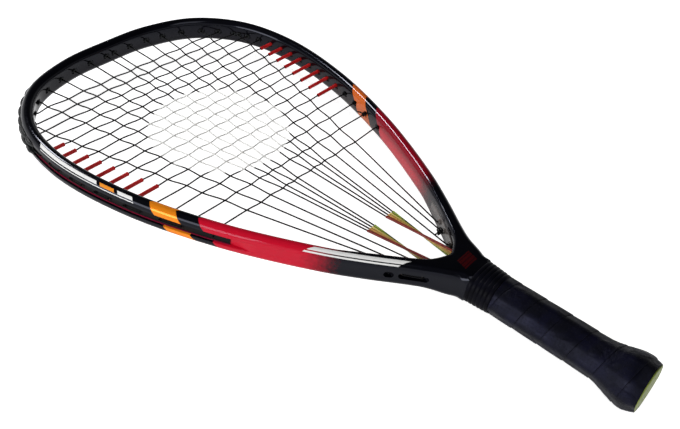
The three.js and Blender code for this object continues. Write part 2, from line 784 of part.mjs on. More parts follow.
// Cross string: one length that runs over and under the mains, row after row
function crossPath() {
  const path = [];
  const columns = 2 * mainsPerSide;
  crossRows.forEach((y, row) => {
    const port = crossPorts[row];
    const mouths = tubedRows.includes(row)
      ? [tubeMouth(row), portPoint(port, -halfBeam)]
      : [portPoint(port, -halfBeam - 2 * barrelReach)];
    const run = [portPoint(port, stringLevel, -1), ...mouths.map((p) => flip(p, -1)).reverse()];
    for (let column = 0; column < columns; column += 1) {
      const side = column < mainsPerSide ? -1 : 1;
      const pair = side < 0 ? column : columns - 1 - column;
      if (crossingsOf(pair).includes(row)) {
        run.push(new THREE.Vector3(side * mainX(pair, y), y, -weaveLift * weaveSide(column, row)));
      }
    }
    run.push(...mouths, portPoint(port, stringLevel, 1));
    const toRight = row % 2 === 0;
    if (!toRight) run.reverse();
    path.push(...run);
    if (row + 1 < crossCount) {
      const side = toRight ? 1 : -1;
      const mainBetween = side < 0 && crossPorts[row].distance < tipPorts[0].distance
        && crossPorts[row + 1].distance > tipPorts[0].distance;
      const from = fullDistance(port, side);
      const to = fullDistance(crossPorts[row + 1], side);
      path.push(...grooveRun(from, to, stringLevel, mainBetween ? loopSidestep : 0));
    }
  });
  return path;
}

// Handle: sizes of the flare at a height above the butt
function flareAt(y) {
  const share = Math.min(1, Math.max(0, y / flareTopY));
  const upper = Math.max(1, flareShares.findIndex(([at]) => at >= share));
  const [a, b] = [flareShares[upper - 1], flareShares[upper]];
  const swell = between(a[1], b[1], (share - a[0]) / (b[0] - a[0]));
  return {
    halfWidth: between(gripHalfWidth, flareHalfWidth, swell),
    halfHeight: between(gripHalfHeight, flareHalfHeight, swell),
  };
}

// Grip section: an ellipse pushed out towards soft bevels
function gripRing(y, halfWidth, halfHeight, steps, lift = () => 0) {
  return Array.from({ length: steps }, (_, i) => {
    const turn = 2 * Math.PI * i / steps;
    const swell = 1 + bevelShare * Math.cos(gripBevels * turn);
    const x = (halfWidth * swell + lift(turn)) * Math.cos(turn);
    return new THREE.Vector3(x, y, (halfHeight * swell + lift(turn)) * Math.sin(turn));
  });
}

function gripWrap() {
  const turns = (gripEndY - gripRimY) / wrapPitch;
  const count = Math.round(turns * wrapStationsPerTurn);
  const outer = Array.from({ length: count + 1 }, (_, i) => {
    const y = between(gripRimY, gripEndY, i / count);
    const { halfWidth, halfHeight } = flareAt(y);
    return gripRing(y, halfWidth - wrapLap, halfHeight - wrapLap, wrapSteps, (turn) => {
      const phase = (y - wrapSeamY) / wrapPitch + (Math.PI - turn) / (2 * Math.PI);
      return wrapLap * Math.min(1, (1 - (phase - Math.floor(phase))) * 2);
    });
  });
  const flareHeights = flareShares.map(([at]) => at * flareTopY).filter((y) => y > gripRimY);
  const inner = [gripRimY - cutOverrun, gripRimY, ...flareHeights, gripEndY + cutOverrun].map((y) => {
    const { halfWidth, halfHeight } = flareAt(Math.max(y, gripRimY));
    return gripRing(y, halfWidth - wrapThickness - wrapLap, halfHeight - wrapThickness - wrapLap, wrapSteps);
  });
  return unsolid(solid(loft(outer)).subtract(solid(loft(inner))));
}

function buttCap() {
  const flareHeights = flareShares.map(([at]) => at * flareTopY);
  const heights = [...flareHeights.filter((y) => y < capTopY && y > domeDepth), capTopY];
  const shrink = wrapThickness + wrapLap + meshGap;
  const flank = heights.map((y) => {
    const { halfWidth, halfHeight } = flareAt(y);
    return gripRing(y, halfWidth - shrink, halfHeight - shrink, ringSteps);
  });
  const rim = flareAt(domeDepth);
  const dome = Array.from({ length: domeSteps + 1 }, (_, i) => {
    const turn = i / domeSteps * Math.PI / 2;
    const width = between(plugHalfWidth, rim.halfWidth - shrink, Math.sin(turn));
    const height = between(plugHalfHeight, rim.halfHeight - shrink, Math.sin(turn));
    return gripRing(domeDepth * (1 - Math.cos(turn)), width, height, ringSteps);
  });
  const body = solid(loft([...dome, ...flank]));
  const bore = solid(loft([palletStartY - meshGap, capTopY + cutOverrun].map((y) => (
    gripRing(y, palletHalfWidth + meshGap, palletHalfHeight + meshGap, ringSteps)
  ))));
  const seat = solid(loft([-cutOverrun, plugDepth + meshGap].map((y) => (
    gripRing(y, plugHalfWidth - capWall + meshGap, plugHalfHeight - capWall + meshGap, ringSteps)
  ))));
  return unsolid(cutAll(body, [bore, seat]));
}

const buttPlug = () => loft([0, plugDepth].map((y) => (
  gripRing(y, plugHalfWidth - capWall, plugHalfHeight - capWall, ringSteps)
)));

function pallet(side) {
  const outer = solid(loft([palletStartY, palletEndY].map((y) => (
    gripRing(y, palletHalfWidth, palletHalfHeight, ringSteps)
  ))));
  const core = solid(loft([coreStartY - meshGap, palletEndY + cutOverrun].map((y) => (
    roundedRing(y, coreHalfWidth + meshGap, coreHalfHeight + meshGap, coreCorner + meshGap)
  ))));
  const width = palletHalfWidth + cutOverrun;
  const half = new THREE.BoxGeometry(width, palletEndY + cutOverrun, 2 * palletHalfHeight + cutOverrun);
  half.translate(side * (palletSplit + width) / 2, palletEndY / 2, 0);
  return unsolid(outer.subtract(core).intersect(solid(half)));
}

function gripCollar() {
  const steps = collarRibs * 4;
  const outer = Array.from({ length: steps + 1 }, (_, i) => {
    const crest = i % 4 === 1 || i % 4 === 2 ? collarRibHeight : 0;
    const taper = between(0, collarWall, i / steps);
    return gripRing(between(collarStartY, collarEndY, i / steps), gripHalfWidth + crest - taper / 2,
      gripHalfHeight + crest - taper, ringSteps);
  });
  const neckAt = (y) => Math.min(1, Math.max(0, (y - collarNeckY) / (neckY - collarNeckY)));
  const bore = [collarStartY - cutOverrun, collarNeckY, neckY, collarEndY + cutOverrun].map((y) => {
    const at = (low, high) => between(low, high, neckAt(y)) + meshGap;
    const corner = at(coreCorner, neckCorner);
    return roundedRing(y, at(coreHalfWidth, neckHalfWidth), at(coreHalfHeight, neckHalfHeight), corner);
  });
  return unsolid(solid(loft(outer)).subtract(solid(loft(bore))));
}

// The assembly
add('frame', unsolid(frameSolid()), carbon);
add('tip_guard', tipGuard(), guardPlastic);
sides.forEach((side) => {
  add(`side_grommet_strip_${sideName(side)}`, sideStrip(side), redPlastic);
  add(`throat_eyelet_strip_${sideName(side)}`, eyeletStrip(side), smokyPlastic);
  tubedRows.forEach((row, i) => add(`cross_tube_${sideName(side)}_${i + 1}`, redTube(row, side), redPlastic));
  const acrossBundle = [olivePlastic, yellowPlastic, orangePlastic, brownPlastic];
  const outermostFirst = side < 0 ? acrossBundle.reverse() : acrossBundle;
  outermostFirst.forEach((surface, order) => {
    const tube = unsolid(pipe(tubeLine(order, side), throatTubeDiameter, throatBoreDiameter, throatTubeSides));
    add(`throat_tube_${sideName(side)}_${order + 1}`, tube, surface);
  });
  add(`handle_pallet_${sideName(side)}`, pallet(side), foam);
});
add('main_string', bar(mainPath(), stringRadius, stringSides), nylonString);
add('cross_string', bar(crossPath(), stringRadius, stringSides), nylonString);
add('butt_cap', buttCap(), limePlastic);
add('butt_plug', buttPlug(), limePlastic);
add('grip_wrap', gripWrap(), gripLeather);
add('grip_collar', gripCollar(), collarRubber);

export default racket;
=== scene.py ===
"""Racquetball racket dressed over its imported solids: lacquered hoop, woven strings, wrapped handle.

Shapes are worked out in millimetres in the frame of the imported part: +Y runs from the butt to the tip,
+X across the head and +Z square to the strings. The camera looks from the photograph's side, over -X.
"""
import math
import bpy
import numpy as np
from mathutils import Matrix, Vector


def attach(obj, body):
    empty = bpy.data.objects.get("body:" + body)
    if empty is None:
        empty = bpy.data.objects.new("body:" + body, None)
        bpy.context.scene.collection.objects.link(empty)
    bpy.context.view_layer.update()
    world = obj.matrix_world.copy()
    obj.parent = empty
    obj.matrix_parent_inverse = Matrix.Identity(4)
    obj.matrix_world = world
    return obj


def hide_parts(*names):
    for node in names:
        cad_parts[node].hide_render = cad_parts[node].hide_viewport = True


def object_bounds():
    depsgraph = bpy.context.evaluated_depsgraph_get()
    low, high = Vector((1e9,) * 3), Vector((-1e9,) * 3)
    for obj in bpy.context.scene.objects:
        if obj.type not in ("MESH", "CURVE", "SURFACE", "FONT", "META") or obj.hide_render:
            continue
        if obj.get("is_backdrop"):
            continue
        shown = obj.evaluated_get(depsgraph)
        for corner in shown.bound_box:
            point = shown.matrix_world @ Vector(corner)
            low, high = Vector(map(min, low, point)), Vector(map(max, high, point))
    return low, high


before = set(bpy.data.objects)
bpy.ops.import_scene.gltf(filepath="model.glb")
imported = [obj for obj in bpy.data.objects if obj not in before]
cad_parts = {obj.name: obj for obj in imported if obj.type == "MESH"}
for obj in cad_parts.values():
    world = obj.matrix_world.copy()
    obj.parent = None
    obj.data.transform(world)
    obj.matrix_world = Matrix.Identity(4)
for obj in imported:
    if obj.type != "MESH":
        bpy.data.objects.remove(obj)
cad_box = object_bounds()

MM = 0.001

# Hoop and shaft: the solids' sizes, but for the neck, which ends lower with the collar
OVERALL_LENGTH = 558.8
HOOP_HALF_WIDTH = 136.3
OPENING_END_Y = 167.0
BEAM_WIDTH = 10.5
BEAM_HEIGHT = 21.4
GROOVE_DEPTH = 3.0
GROOVE_HALF_HEIGHT = 3.8
GROOVE_LEAD = 4.0
GROOVE_RUN_OUT = 14.0
OUTLINE_SHARES = [
    (0, 1), (0.34, 0.994), (0.685, 0.952), (0.915, 0.862), (1, 0.735), (0.945, 0.565),
    (0.757, 0.37), (0.495, 0.1906), (0.384, 0.1303), (0.27, 0.075), (0.15, 0.025), (0.066, 0.0073), (0, 0),
]
SHAFT_END_Y = 130.0
NECK_HALF_WIDTH = 14.0
NECK_TOP_Y = 139.2
SHOULDER_START_Y = 147.0
SHOULDER_START_HALF_WIDTH = 16.6
SHOULDER_START_HALF_HEIGHT = 12.4
SHOULDER_END_SHARE = 0.1624
SHOULDER_SPREAD_SHARE = 0.4622
SHOULDER_SHARES = [
    (0, 0), (0.05, 0.055), (0.22, 0.19), (0.4, 0.38), (0.55, 0.555), (0.68, 0.705), (0.83, 0.865), (1, 1),
]
JOIN_Y = 236.0
THROAT_EDGE_RADIUS = 2.8
THROAT_EDGE_END_Y = 205.0
LEG_EDGE_START_Y = 230.0
SHAFT_ONLY_Y = 160.0
EDGE_BLEND_Y = (200.0, 230.0)
EDGE_BLEND_SOFTNESS = 1.2
SHAFT_FOOT_POINTS = 19
CROWN_LENGTH = 26.0
CREST_RISE, CREST_SPREAD = 0.5, 9.0

# String bed
STRING_RADIUS = 0.625
STRING_RISE = 2.35
CROSSED_RISE = 1.6
SIDESTEP = 1.6
PORT_LEAD = 2.4
WEAVE_LIFT = 0.64
MAINS_PER_SIDE = 7
CROSS_COUNT = 16
FIRST_CROSS_SHARE = 0.3793
THROAT_PITCH_SHARE = 0.0521
HEAD_PITCH_SHARE = 0.0312
PITCH_DECAY_SHARE = 0.63
MAIN_HIGH_SHARE = 0.8684
PLAIN_MAIN_SHARES = [0.485, 0.387, 0.286]
MAIN_SPREAD_SHARES = [0.661, 0.525, 0.391, 0.278, 0.156, 0.037]
CROSSING_MARGIN = 3.0
OUTER_MAIN_ROW = 14
OUTER_MAIN_SHARE = 0.633
SQUARE_PORT_ANGLE = math.radians(22)
GUARD_HIGH = 2.3
GUARD_LOW = 0.8
GUARD_GAP = 1.5
GUARD_TEETH = 25
TUBED_ROWS = range(4, 12)
TUBE_REACH_SHARE = 0.32
STRIP_LEAD = 13.0
STRIP_END_SHARE = 0.45
BARREL_REACH = 1.2
LINING_RADIUS = 1.7
LINING_BORE = 1.02
SEAT_GAP = 0.1
BUNDLE_SIZE = MAINS_PER_SIDE - len(PLAIN_MAIN_SHARES)
BUNDLE_MIDDLE = (BUNDLE_SIZE - 1) / 2
BUNDLE_TOP_SHARE = 0.1778
BUNDLE_TOP_X = 7.65
BUNDLE_PITCH = 2.9
BUNDLE_WALL_X = 10.0
STACK_PITCH = 3.4
THROAT_TUBE_RADIUS = 1.05
TUBE_SINK = 9.0
SLOT_HALF_WIDTH = 2.8287
EYELET_SHARES = [0.0512, 0.0304, 0]
EYELET_LEAD = 4.1
EYELET_STRIP_GAP = 2.4
EYELET_STRIP_FACE = 1.1
EYELET_STRIP_TAIL = 21.0
EYELET_HEIGHT = 1.4
THROAT_PORT_ANGLE = math.radians(-38)
RECESS_DEPTH = 2.6

# Handle
GRIP_HALF_WIDTH = 16.2
GRIP_HALF_HEIGHT = 14.2
GRIP_END_Y = 120.4
WRAP_PITCH = 21.0
WRAP_LAP = 0.32
WRAP_STEPS = 120
SEAM_Y = 98.0
FLARE_HALF_WIDTH = 21.8
FLARE_HALF_HEIGHT = 19.2
FLARE_TOP_Y = 38.0
FLARE_SHARES = [
    (0, 0.62), (0.06, 0.86), (0.22, 1), (0.36, 0.86), (0.52, 0.52), (0.7, 0.2), (0.86, 0.05), (1, 0),
]
BEVEL_SHARE = 0.018
PLUG_HALF_WIDTH = 12.0
PLUG_HALF_HEIGHT = 10.0
DOME_DEPTH = 1.0
COLLAR_START_Y = 120.8
COLLAR_END_Y = 140.6
COLLAR_RIBS = 6
COLLAR_RIB_HEIGHT = 0.6
CAP_INSET = 0.35
# The soft tape: Y and how far it bulges past the solid, then Y and how far it sits off the handle's axis
TAPE_BULGES = [
    (0, -0.3), (4, -0.1), (8, 0.7), (12, 1.3), (18, 1.8), (24, 1.8), (28, 1.4), (32, 0.85), (37, 0.45),
    (44, 0.35),
]
TAPE_SHIFTS = [(0, 0.9), (12, 1.2), (20, 1.0), (40, 0.7), (60, 0.5), (80, 0.4), (120, 0.25), (136, 0)]
# Across one turn of tape: share of the pitch, share of the lap's height, share of the painted shade along the
# seam
TAPE_LAP = [
    (0, -0.56, 1), (0.006, 0.6, 0.9), (0.014, 0.92, 0.3), (0.03, 1.04, 0), (0.06, 1, 0), (0.14, 0.94, 0),
    (0.26, 0.9, 0), (0.38, 0.86, 0), (0.5, 0.8, 0), (0.62, 0.68, 0), (0.74, 0.48, 0), (0.85, 0.26, 0),
    (0.93, 0.06, 0), (0.975, -0.16, 0.35), (0.994, -0.48, 1),
]

# Paint: pairs of Y along the hoop, slanted by the way round the moulding
WHITE_INK, ORANGE_INK = (0.86, 0.86, 0.85), (0.88, 0.30, 0.03)
PAINT_SLANT = 0.85
BAND_Y = (337.0, 357.5)
RED_TOP_Y = (319.6, 320.4)
RED_FADE_Y = (226.0, 256.0)
PLATE_X, PLATE_Y = (-7.0, 8.5), (148.2, 158.0)
PLATE_LEAN, PLATE_LEAN_Y = 0.35, 153.0
PLATE_SLIT_PITCH = 3.3
OVAL_CENTRE, OVAL_RADII = (-8.0, 398.0), (62.0, 58.0)
# Plain stripes: from Y, to Y, inner and outer edge across the moulding, colour
HEAD_STRIPES = [
    (404.0, 468.0, 2.0, 4.6, WHITE_INK), (388.0, 401.0, 2.0, 4.6, ORANGE_INK),
    (372.0, 385.0, 2.0, 4.6, WHITE_INK), (372.0, 468.0, 5.7, 6.3, WHITE_INK),
]
LEG_STRIPES = [(187.0, 246.0, 2.3, 5.6, WHITE_INK), (187.0, 246.0, 0.8, 1.6, WHITE_INK)]

UP, ACROSS = np.array([0, 0, 1.0]), np.array([1.0, 0, 0])
HALF_BEAM = BEAM_WIDTH / 2
CROWN_RISE = BEAM_HEIGHT / 2 - HALF_BEAM
GROOVE_FLOOR = HALF_BEAM - GROOVE_DEPTH
TIP_CENTRE_Y = OVERALL_LENGTH - GUARD_HIGH - HALF_BEAM
THROAT_CENTRE_Y = OPENING_END_Y - HALF_BEAM
HOOP_LENGTH = TIP_CENTRE_Y - THROAT_CENTRE_Y
STRING_LEVEL = GROOVE_FLOOR + STRING_RISE
SHOULDER_END_Y = THROAT_CENTRE_Y + SHOULDER_END_SHARE * HOOP_LENGTH
SHOULDER_END_HALF_WIDTH = SHOULDER_SPREAD_SHARE * HOOP_HALF_WIDTH
BUNDLE_TOP_Y = THROAT_CENTRE_Y + BUNDLE_TOP_SHARE * HOOP_LENGTH
TUBE_END_Y = OPENING_END_Y - TUBE_SINK


# Short functions that the shapes share
def unit(vectors):
    return vectors / np.linalg.norm(vectors, axis=-1, keepdims=True)


def run_length(path):
    """Distance along a path at each of its points."""
    return np.concatenate([[0], np.cumsum(np.linalg.norm(np.diff(path, axis=0), axis=1))])


def along_path(places, run, path):
    """Points at places along a flat path whose points have the given run lengths."""
    return np.stack([np.interp(places, run, path[:, k]) for k in (0, 1)], 1)


def smoothed(values, count):
    """Soft moving average over a count of values, which leaves half of the count out at each end."""
    kernel = np.hanning(count)
    return np.convolve(values, kernel / kernel.sum(), "valid")


def square_pair(direction, seed=None):
    """Two unit vectors square to a direction, the first of them square to the seed as well."""
    if seed is None:
        seed = UP if abs(direction[2]) < 0.8 else ACROSS
    right = unit(np.cross(direction, seed))
    return right, np.cross(right, direction)


def add_object(name, data):
    made = bpy.data.objects.new(name, data)
    bpy.context.scene.collection.objects.link(made)
    return made


# Node graphs
class Graph:
    """Node graph of the world or of a new material, with short calls for the nodes that finishes share."""

    def __init__(self, owner):
        if isinstance(owner, str):
            owner = bpy.data.materials.new(owner)
        owner.use_nodes = True
        self.owner = owner
        self.nodes = owner.node_tree.nodes
        self.links = owner.node_tree.links
        self.shader = self.nodes.get("Principled BSDF")

    def put(self, target, value):
        """Link a socket to another one, or set it to a number or a red, green and blue."""
        if isinstance(value, bpy.types.NodeSocket):
            self.links.new(value, target)
        else:
            target.default_value = (*value, 1.0) if isinstance(value, tuple) else value

    def node(self, kind, inputs=None, **settings):
        made = self.nodes.new(kind)
        for key, value in settings.items():
            setattr(made, key, value)
        for key, value in (inputs or {}).items():
            self.put(made.inputs[key], value)
        return made

    def calc(self, operation, *values):
        made = self.node("ShaderNodeMath", operation=operation)
        for i, value in enumerate(values):
            self.put(made.inputs[i], value)
        return made.outputs[0]

    def times(self, first, *others):
        for other in others:
            first = self.calc("MULTIPLY", first, other)
        return first

    def plus(self, a, b):
        return self.calc("ADD", a, b)

    def minus(self, a, b):
        return self.calc("SUBTRACT", a, b)

    def step(self, value, start, end, low=0.0, high=1.0):
        inputs = {"Value": value, "From Min": start, "From Max": end, "To Min": low, "To Max": high}
        return self.node("ShaderNodeMapRange", inputs, interpolation_type="SMOOTHSTEP").outputs[0]

    def window(self, value, start, end, soft):
        rise = self.step(value, start - soft, start + soft)
        fall = self.step(value, end - soft, end + soft, 1.0, 0.0)
        return self.times(rise, fall)

    def mix(self, factor, a, b):
        return self.node("ShaderNodeMix", {0: factor, 6: a, 7: b}, data_type="RGBA").outputs[2]

    def parts(self, vector):
        return self.node("ShaderNodeSeparateXYZ", {0: vector}).outputs

    def place(self):
        """Object coordinates in millimetres, as a vector and its three parts."""
        coords = self.node("ShaderNodeTexCoord").outputs["Object"]
        scaled = self.node("ShaderNodeVectorMath", {0: coords, "Scale": 1 / MM}, operation="SCALE").outputs[0]
        return scaled, self.parts(scaled)

    def noise(self, vector, scale, detail=3.0, rough=0.5):
        inputs = {"Vector": vector, "Scale": scale, "Detail": detail, "Roughness": rough}
        return self.node("ShaderNodeTexNoise", inputs).outputs[0]

    def bump(self, height, strength, distance):
        inputs = {"Height": height, "Strength": strength, "Distance": distance}
        return self.node("ShaderNodeBump", inputs).outputs[0]

    def attribute(self, name):
        return self.node("ShaderNodeAttribute", attribute_name=name).outputs["Fac"]

    def finish(self, **values):
        for key, value in values.items():
            self.put(self.shader.inputs[key.replace("_", " ")], value)
        return self.owner


# Materials
def plastic(name, dark, light, roughness, fine=2.0, bump=0.15, Specular_IOR_Level=0.25, **more):
    """Moulded plastic: two close tones in soft clouds, with a fine grain in its gloss and relief."""
    g = Graph(name)
    spot, _ = g.place()
    grain = g.noise(spot, fine, 4.0)
    colour = g.mix(g.step(g.noise(spot, 0.12), 0.3, 0.7), dark, light)
    rough = g.step(grain, 0.25, 0.75, roughness - 0.06, roughness + 0.08)
    return g.finish(Base_Color=colour, Roughness=rough, Normal=g.bump(grain, bump, 0.0001),
                    Specular_IOR_Level=Specular_IOR_Level, **more)


def edged_plastic(name, middle, lips, half_height):
    """Moulded strip, dark along its channel and coloured on its two lips."""
    g = Graph(name)
    spot, (_, _, z) = g.place()
    lip = g.step(g.calc("ABSOLUTE", z), half_height - 0.1, half_height + 0.1)
    grain = g.noise(spot, 2.0, 4.0)
    dark, bright = (g.mix(grain, tone, tuple(gain * value for value in tone))
                    for tone, gain in ((middle, 1.8), (lips, 1.3)))
    rough = g.step(grain, 0.25, 0.75, 0.32, 0.46)
    return g.finish(Base_Color=g.mix(lip, dark, bright), Roughness=rough, Specular_IOR_Level=0.12,
                    Normal=g.bump(grain, 0.15, 0.0001))


def stripes_over(g, colour, stripes, across, along, edge, mask):
    """Lay plain stripes over a colour where the mask shows; edge is how soft their long sides are."""
    for low_y, high_y, inner, outer, ink in stripes:
        stripe = g.times(g.window(across, inner, outer, edge), g.window(along, low_y, high_y, 0.25), mask)
        colour = g.mix(stripe, colour, ink)
    return colour


def plate_over(g, colour, x, y, z):
    """Lay a plain dark red plate over a colour at the foot of the throat, with fine slits across it."""
    leaning = g.minus(x, g.times(g.minus(y, PLATE_LEAN_Y), PLATE_LEAN))
    plate = g.times(g.window(leaning, *PLATE_X, 0.15), g.window(y, *PLATE_Y, 0.15), g.step(z, 0.0, 2.0))
    slit = g.window(g.calc("PINGPONG", g.minus(y, PLATE_Y[0]), PLATE_SLIT_PITCH / 2), 1.25, 9.0, 0.1)
    return g.mix(g.times(plate, g.minus(1.0, g.times(slit, 0.6))), colour, (0.035, 0.0008, 0.0015))


def frame_lacquer():
    """Black lacquer with an orange band, a red leg that fades to black, and plain pinstripes; painted shade
    darkens the band and the leg on the far side, and a painted floor reflection lightens the lower inner
    wall.
    """
    g = Graph("frame_lacquer")
    spot, (x, y, z) = g.place()
    around, outside, rim = (g.attribute(name) for name in ("around", "outside", "rim"))
    inside = g.minus(1.0, outside)
    slanted = g.plus(y, g.times(around, PAINT_SLANT))
    band = g.window(slanted, *BAND_Y, 0.35)
    grainy = g.plus(y, g.times(g.noise(spot, 0.35, 5.0), 14.0))
    red = g.times(g.step(slanted, *RED_TOP_Y, 1.0, 0.0), g.step(grainy, *RED_FADE_Y))
    black = g.mix(g.noise(spot, 0.05, 2.0), (0.0004, 0.0004, 0.0007), (0.0010, 0.0011, 0.0035))
    crimson = g.mix(g.noise(spot, 9.0, 2.0), (0.46, 0.002, 0.014), (0.66, 0.006, 0.03))
    # Painted shade: on the far (+X) side the red leg is painted a darker maroon, darkest towards its outer
    # edge.
    painted_shade_maroon = g.mix(g.step(around, 4.0, 11.0), (0.20, 0.002, 0.010), (0.03, 0.0006, 0.002))
    far_shade_mask = g.times(g.step(x, 0.0, 40.0, 0.0, 0.85), g.step(z, -4.0, 9.0))
    # Painted shade: the orange band is painted a deeper orange on the far (+X) side.
    band_amber_far_shaded = g.mix(g.step(x, -40.0, 40.0), (0.95, 0.27, 0.008), (0.60, 0.12, 0.016))
    colour = g.mix(band, g.mix(red, black, g.mix(far_shade_mask, crimson, painted_shade_maroon)), band_amber_far_shaded)
    near_top = g.times(g.step(x, 2.0, -2.0), g.step(z, 0.0, 2.0))
    girth = g.plus(g.times(around, outside), g.times(inside, -9.0))
    colour = stripes_over(g, colour, HEAD_STRIPES, girth, slanted, 0.12, near_top)
    colour = stripes_over(g, colour, LEG_STRIPES, rim, g.plus(y, rim), 0.1, near_top)
    colour = plate_over(g, colour, x, y, z)
    # Painted reflection: the lower inner wall is lightened towards grey-brown, most near the throat, as if it
    # mirrored the white floor.
    painted_floor_reflection = g.times(inside, g.step(z, 8.0, -9.0), g.step(y, 430.0, 340.0, 0.012, 0.08))
    colour = g.mix(painted_floor_reflection, colour, (0.74, 0.62, 0.58))
    rough = g.step(g.noise(spot, 0.25, 4.0), 0.3, 0.8, 0.10, 0.20)
    return g.finish(Base_Color=colour, Metallic=g.times(band, outside, 0.25), Roughness=rough,
                    Specular_IOR_Level=0.14, Specular_Tint=(0.6, 0.66, 1.0), Coat_Weight=0.22,
                    Coat_Roughness=0.07, Normal=g.bump(g.noise(spot, 0.6, 2.0), 0.05, 0.0002))


def string_nylon():
    """Black braided string with plain white ink in an oval on the bed."""
    g = Graph("string_nylon")
    spot, (x, y, _) = g.place()
    across, upward = (g.calc("POWER", g.calc("DIVIDE", g.minus(value, centre), radius), 2.0)
                      for value, centre, radius in zip((x, y), OVAL_CENTRE, OVAL_RADII))
    away = g.plus(g.plus(across, upward), g.times(g.noise(spot, 1.2, 2.0), 0.03))
    ink = g.step(away, 0.985, 1.015, 1.0, 0.0)
    along, turn, _ = g.parts(g.node("ShaderNodeUVMap").outputs[0])
    braid = g.calc("SINE", g.times(g.plus(g.times(along, 1.1), g.times(turn, 4.0)), 2 * math.pi))
    base = g.mix(g.noise(spot, 0.8), (0.002, 0.002, 0.0025), (0.006, 0.006, 0.0065))
    rough = g.step(ink, 0.0, 1.0, 0.38, 0.6)
    return g.finish(Base_Color=g.mix(ink, base, (0.86, 0.86, 0.84)), Roughness=rough,
                    Specular_IOR_Level=0.08, Normal=g.bump(braid, 0.25, 0.00005))


def grip_tape():
    """Tacky black grip tape: soft blue-black sheen, rows of pinholes and patches of raised wrinkles."""
    g = Graph("grip_tape")
    spot, _ = g.place()
    uv = g.node("ShaderNodeUVMap").outputs[0]
    cells = g.node("ShaderNodeTexVoronoi", {"Vector": uv, "Scale": 0.36, "Randomness": 0.08})
    hole = g.step(cells.outputs["Distance"], 0.10, 0.2, 1.0, 0.0)
    wrinkle = g.times(g.noise(spot, 0.28, 5.0, 0.62), g.step(g.noise(spot, 0.045, 2.0), 0.5, 0.62), 5.5)
    cloud = g.step(g.noise(spot, 0.08, 3.0), 0.35, 0.7)
    base = g.mix(cloud, (0.0005, 0.0005, 0.0016), (0.0018, 0.0018, 0.0085))
    base = g.mix(g.times(hole, 0.6), base, (0.001, 0.001, 0.0015))
    # Painted shade: the tape is darkened along each seam, in the step where one turn laps over the next.
    base = g.mix(g.times(g.attribute("seam"), 0.5), base, (0.0008, 0.0008, 0.001))
    relief = g.plus(g.minus(wrinkle, g.times(hole, 0.5)), g.times(g.noise(spot, 2.6, 4.0), 0.18))
    rough = g.step(g.noise(spot, 0.12, 3.0), 0.3, 0.7, 0.42, 0.56)
    return g.finish(Base_Color=base, Roughness=rough, Normal=g.bump(relief, 0.5, 0.0004),
                    Specular_IOR_Level=0.17, Specular_Tint=(0.64, 0.66, 1.0))


def studio_floor():
    """White floor: shows the shadow, and stays white to the camera and in reflections."""
    g = Graph("studio_floor")
    tone = g.mix(g.noise(g.place()[0], 0.01, 2.0), (0.93, 0.93, 0.93), (0.95, 0.95, 0.95))
    g.finish(Base_Color=tone, Roughness=0.9, Specular_IOR_Level=0.0)
    ray = g.node("ShaderNodeLightPath").outputs
    mirrored = g.times(g.calc("MAXIMUM", ray["Is Glossy Ray"], ray["Is Transmission Ray"]), 0.4)
    seen = g.calc("MAXIMUM", g.times(ray["Is Camera Ray"], 0.8), mirrored)
    glow = g.node("ShaderNodeEmission", {"Color": (1, 1, 1), "Strength": seen})
    both = g.node("ShaderNodeAddShader", {0: g.shader.outputs[0], 1: glow.outputs[0]})
    g.links.new(both.outputs[0], g.nodes["Material Output"].inputs["Surface"])
    return g.owner


def studio_world(world):
    """White walls low down, dimmer on the far side, under a dim ceiling; the camera sees plain white."""
    g = Graph(world)
    g.nodes.clear()
    x, _, z = g.parts(g.node("ShaderNodeTexCoord").outputs["Generated"])
    level = g.times(g.step(z, 0.2, 0.45, 1.0, 0.15), g.step(x, -0.2, 0.5, 1.0, 0.3))
    seen = g.calc("MAXIMUM", level, g.node("ShaderNodeLightPath").outputs["Is Camera Ray"])
    sky = g.node("ShaderNodeBackground", {"Color": (1, 1, 1), "Strength": seen})
    g.node("ShaderNodeOutputWorld", {"Surface": sky.outputs[0]})


# Shells: points in millimetres, faces and their texture coordinates
def signed_volume(a, b, c):
    """Six times the volume between triangles and the origin, positive where they face outwards."""
    return np.einsum("ij,ij->", a, np.cross(b, c))


def loft(rings, closed=False, caps=True, along=None):
    """Skin through rings of equal counts; texture u is the distance along, v the share of the turn."""
    rings = np.asarray(rings, float)
    n, m = rings.shape[:2]
    along = run_length(rings.mean(1)) if along is None else np.asarray(along)
    spans = n if closed else n - 1
    i = np.arange(spans)[:, None]
    j = np.arange(m)[None, :]
    after = (i + 1) % n
    beside = (j + 1) % m
    faces = np.stack([i * m + j, i * m + beside, after * m + beside, after * m + j], -1).reshape(-1, 4)
    u0 = np.broadcast_to(along[i], (spans, m))
    u1 = u0 + np.where(i + 1 < n, along[after] - along[i], along[1] - along[0])
    v0 = np.broadcast_to(j / m, (spans, m))
    v1 = v0 + 1 / m
    uvs = np.stack([u0, v0, u0, v1, u1, v1, u1, v0], -1).reshape(-1, 4, 2)
    points = rings.reshape(-1, 3)
    a, b, c, d = (points[faces[:, k]] for k in range(4))
    volume = signed_volume(a, b, c) + signed_volume(a, c, d)
    faces, uvs = faces.tolist(), uvs.tolist()
    if caps and not closed:
        for end in (list(range(m))[::-1], list(range((n - 1) * m, n * m))):
            faces.append(end)
            uvs.append([[0.0, 0.0]] * m)
            fan = points[end]
            volume += signed_volume(np.broadcast_to(fan[0], fan[2:].shape), fan[1:-1], fan[2:])
    if volume < 0:
        faces = [face[::-1] for face in faces]
        uvs = [corner[::-1] for corner in uvs]
    return points, faces, uvs


def round_ring(centre, right, above, radius, sides):
    turn = 2 * np.pi * np.arange(sides)[:, None] / sides
    return centre + radius * (np.cos(turn) * right + np.sin(turn) * above)


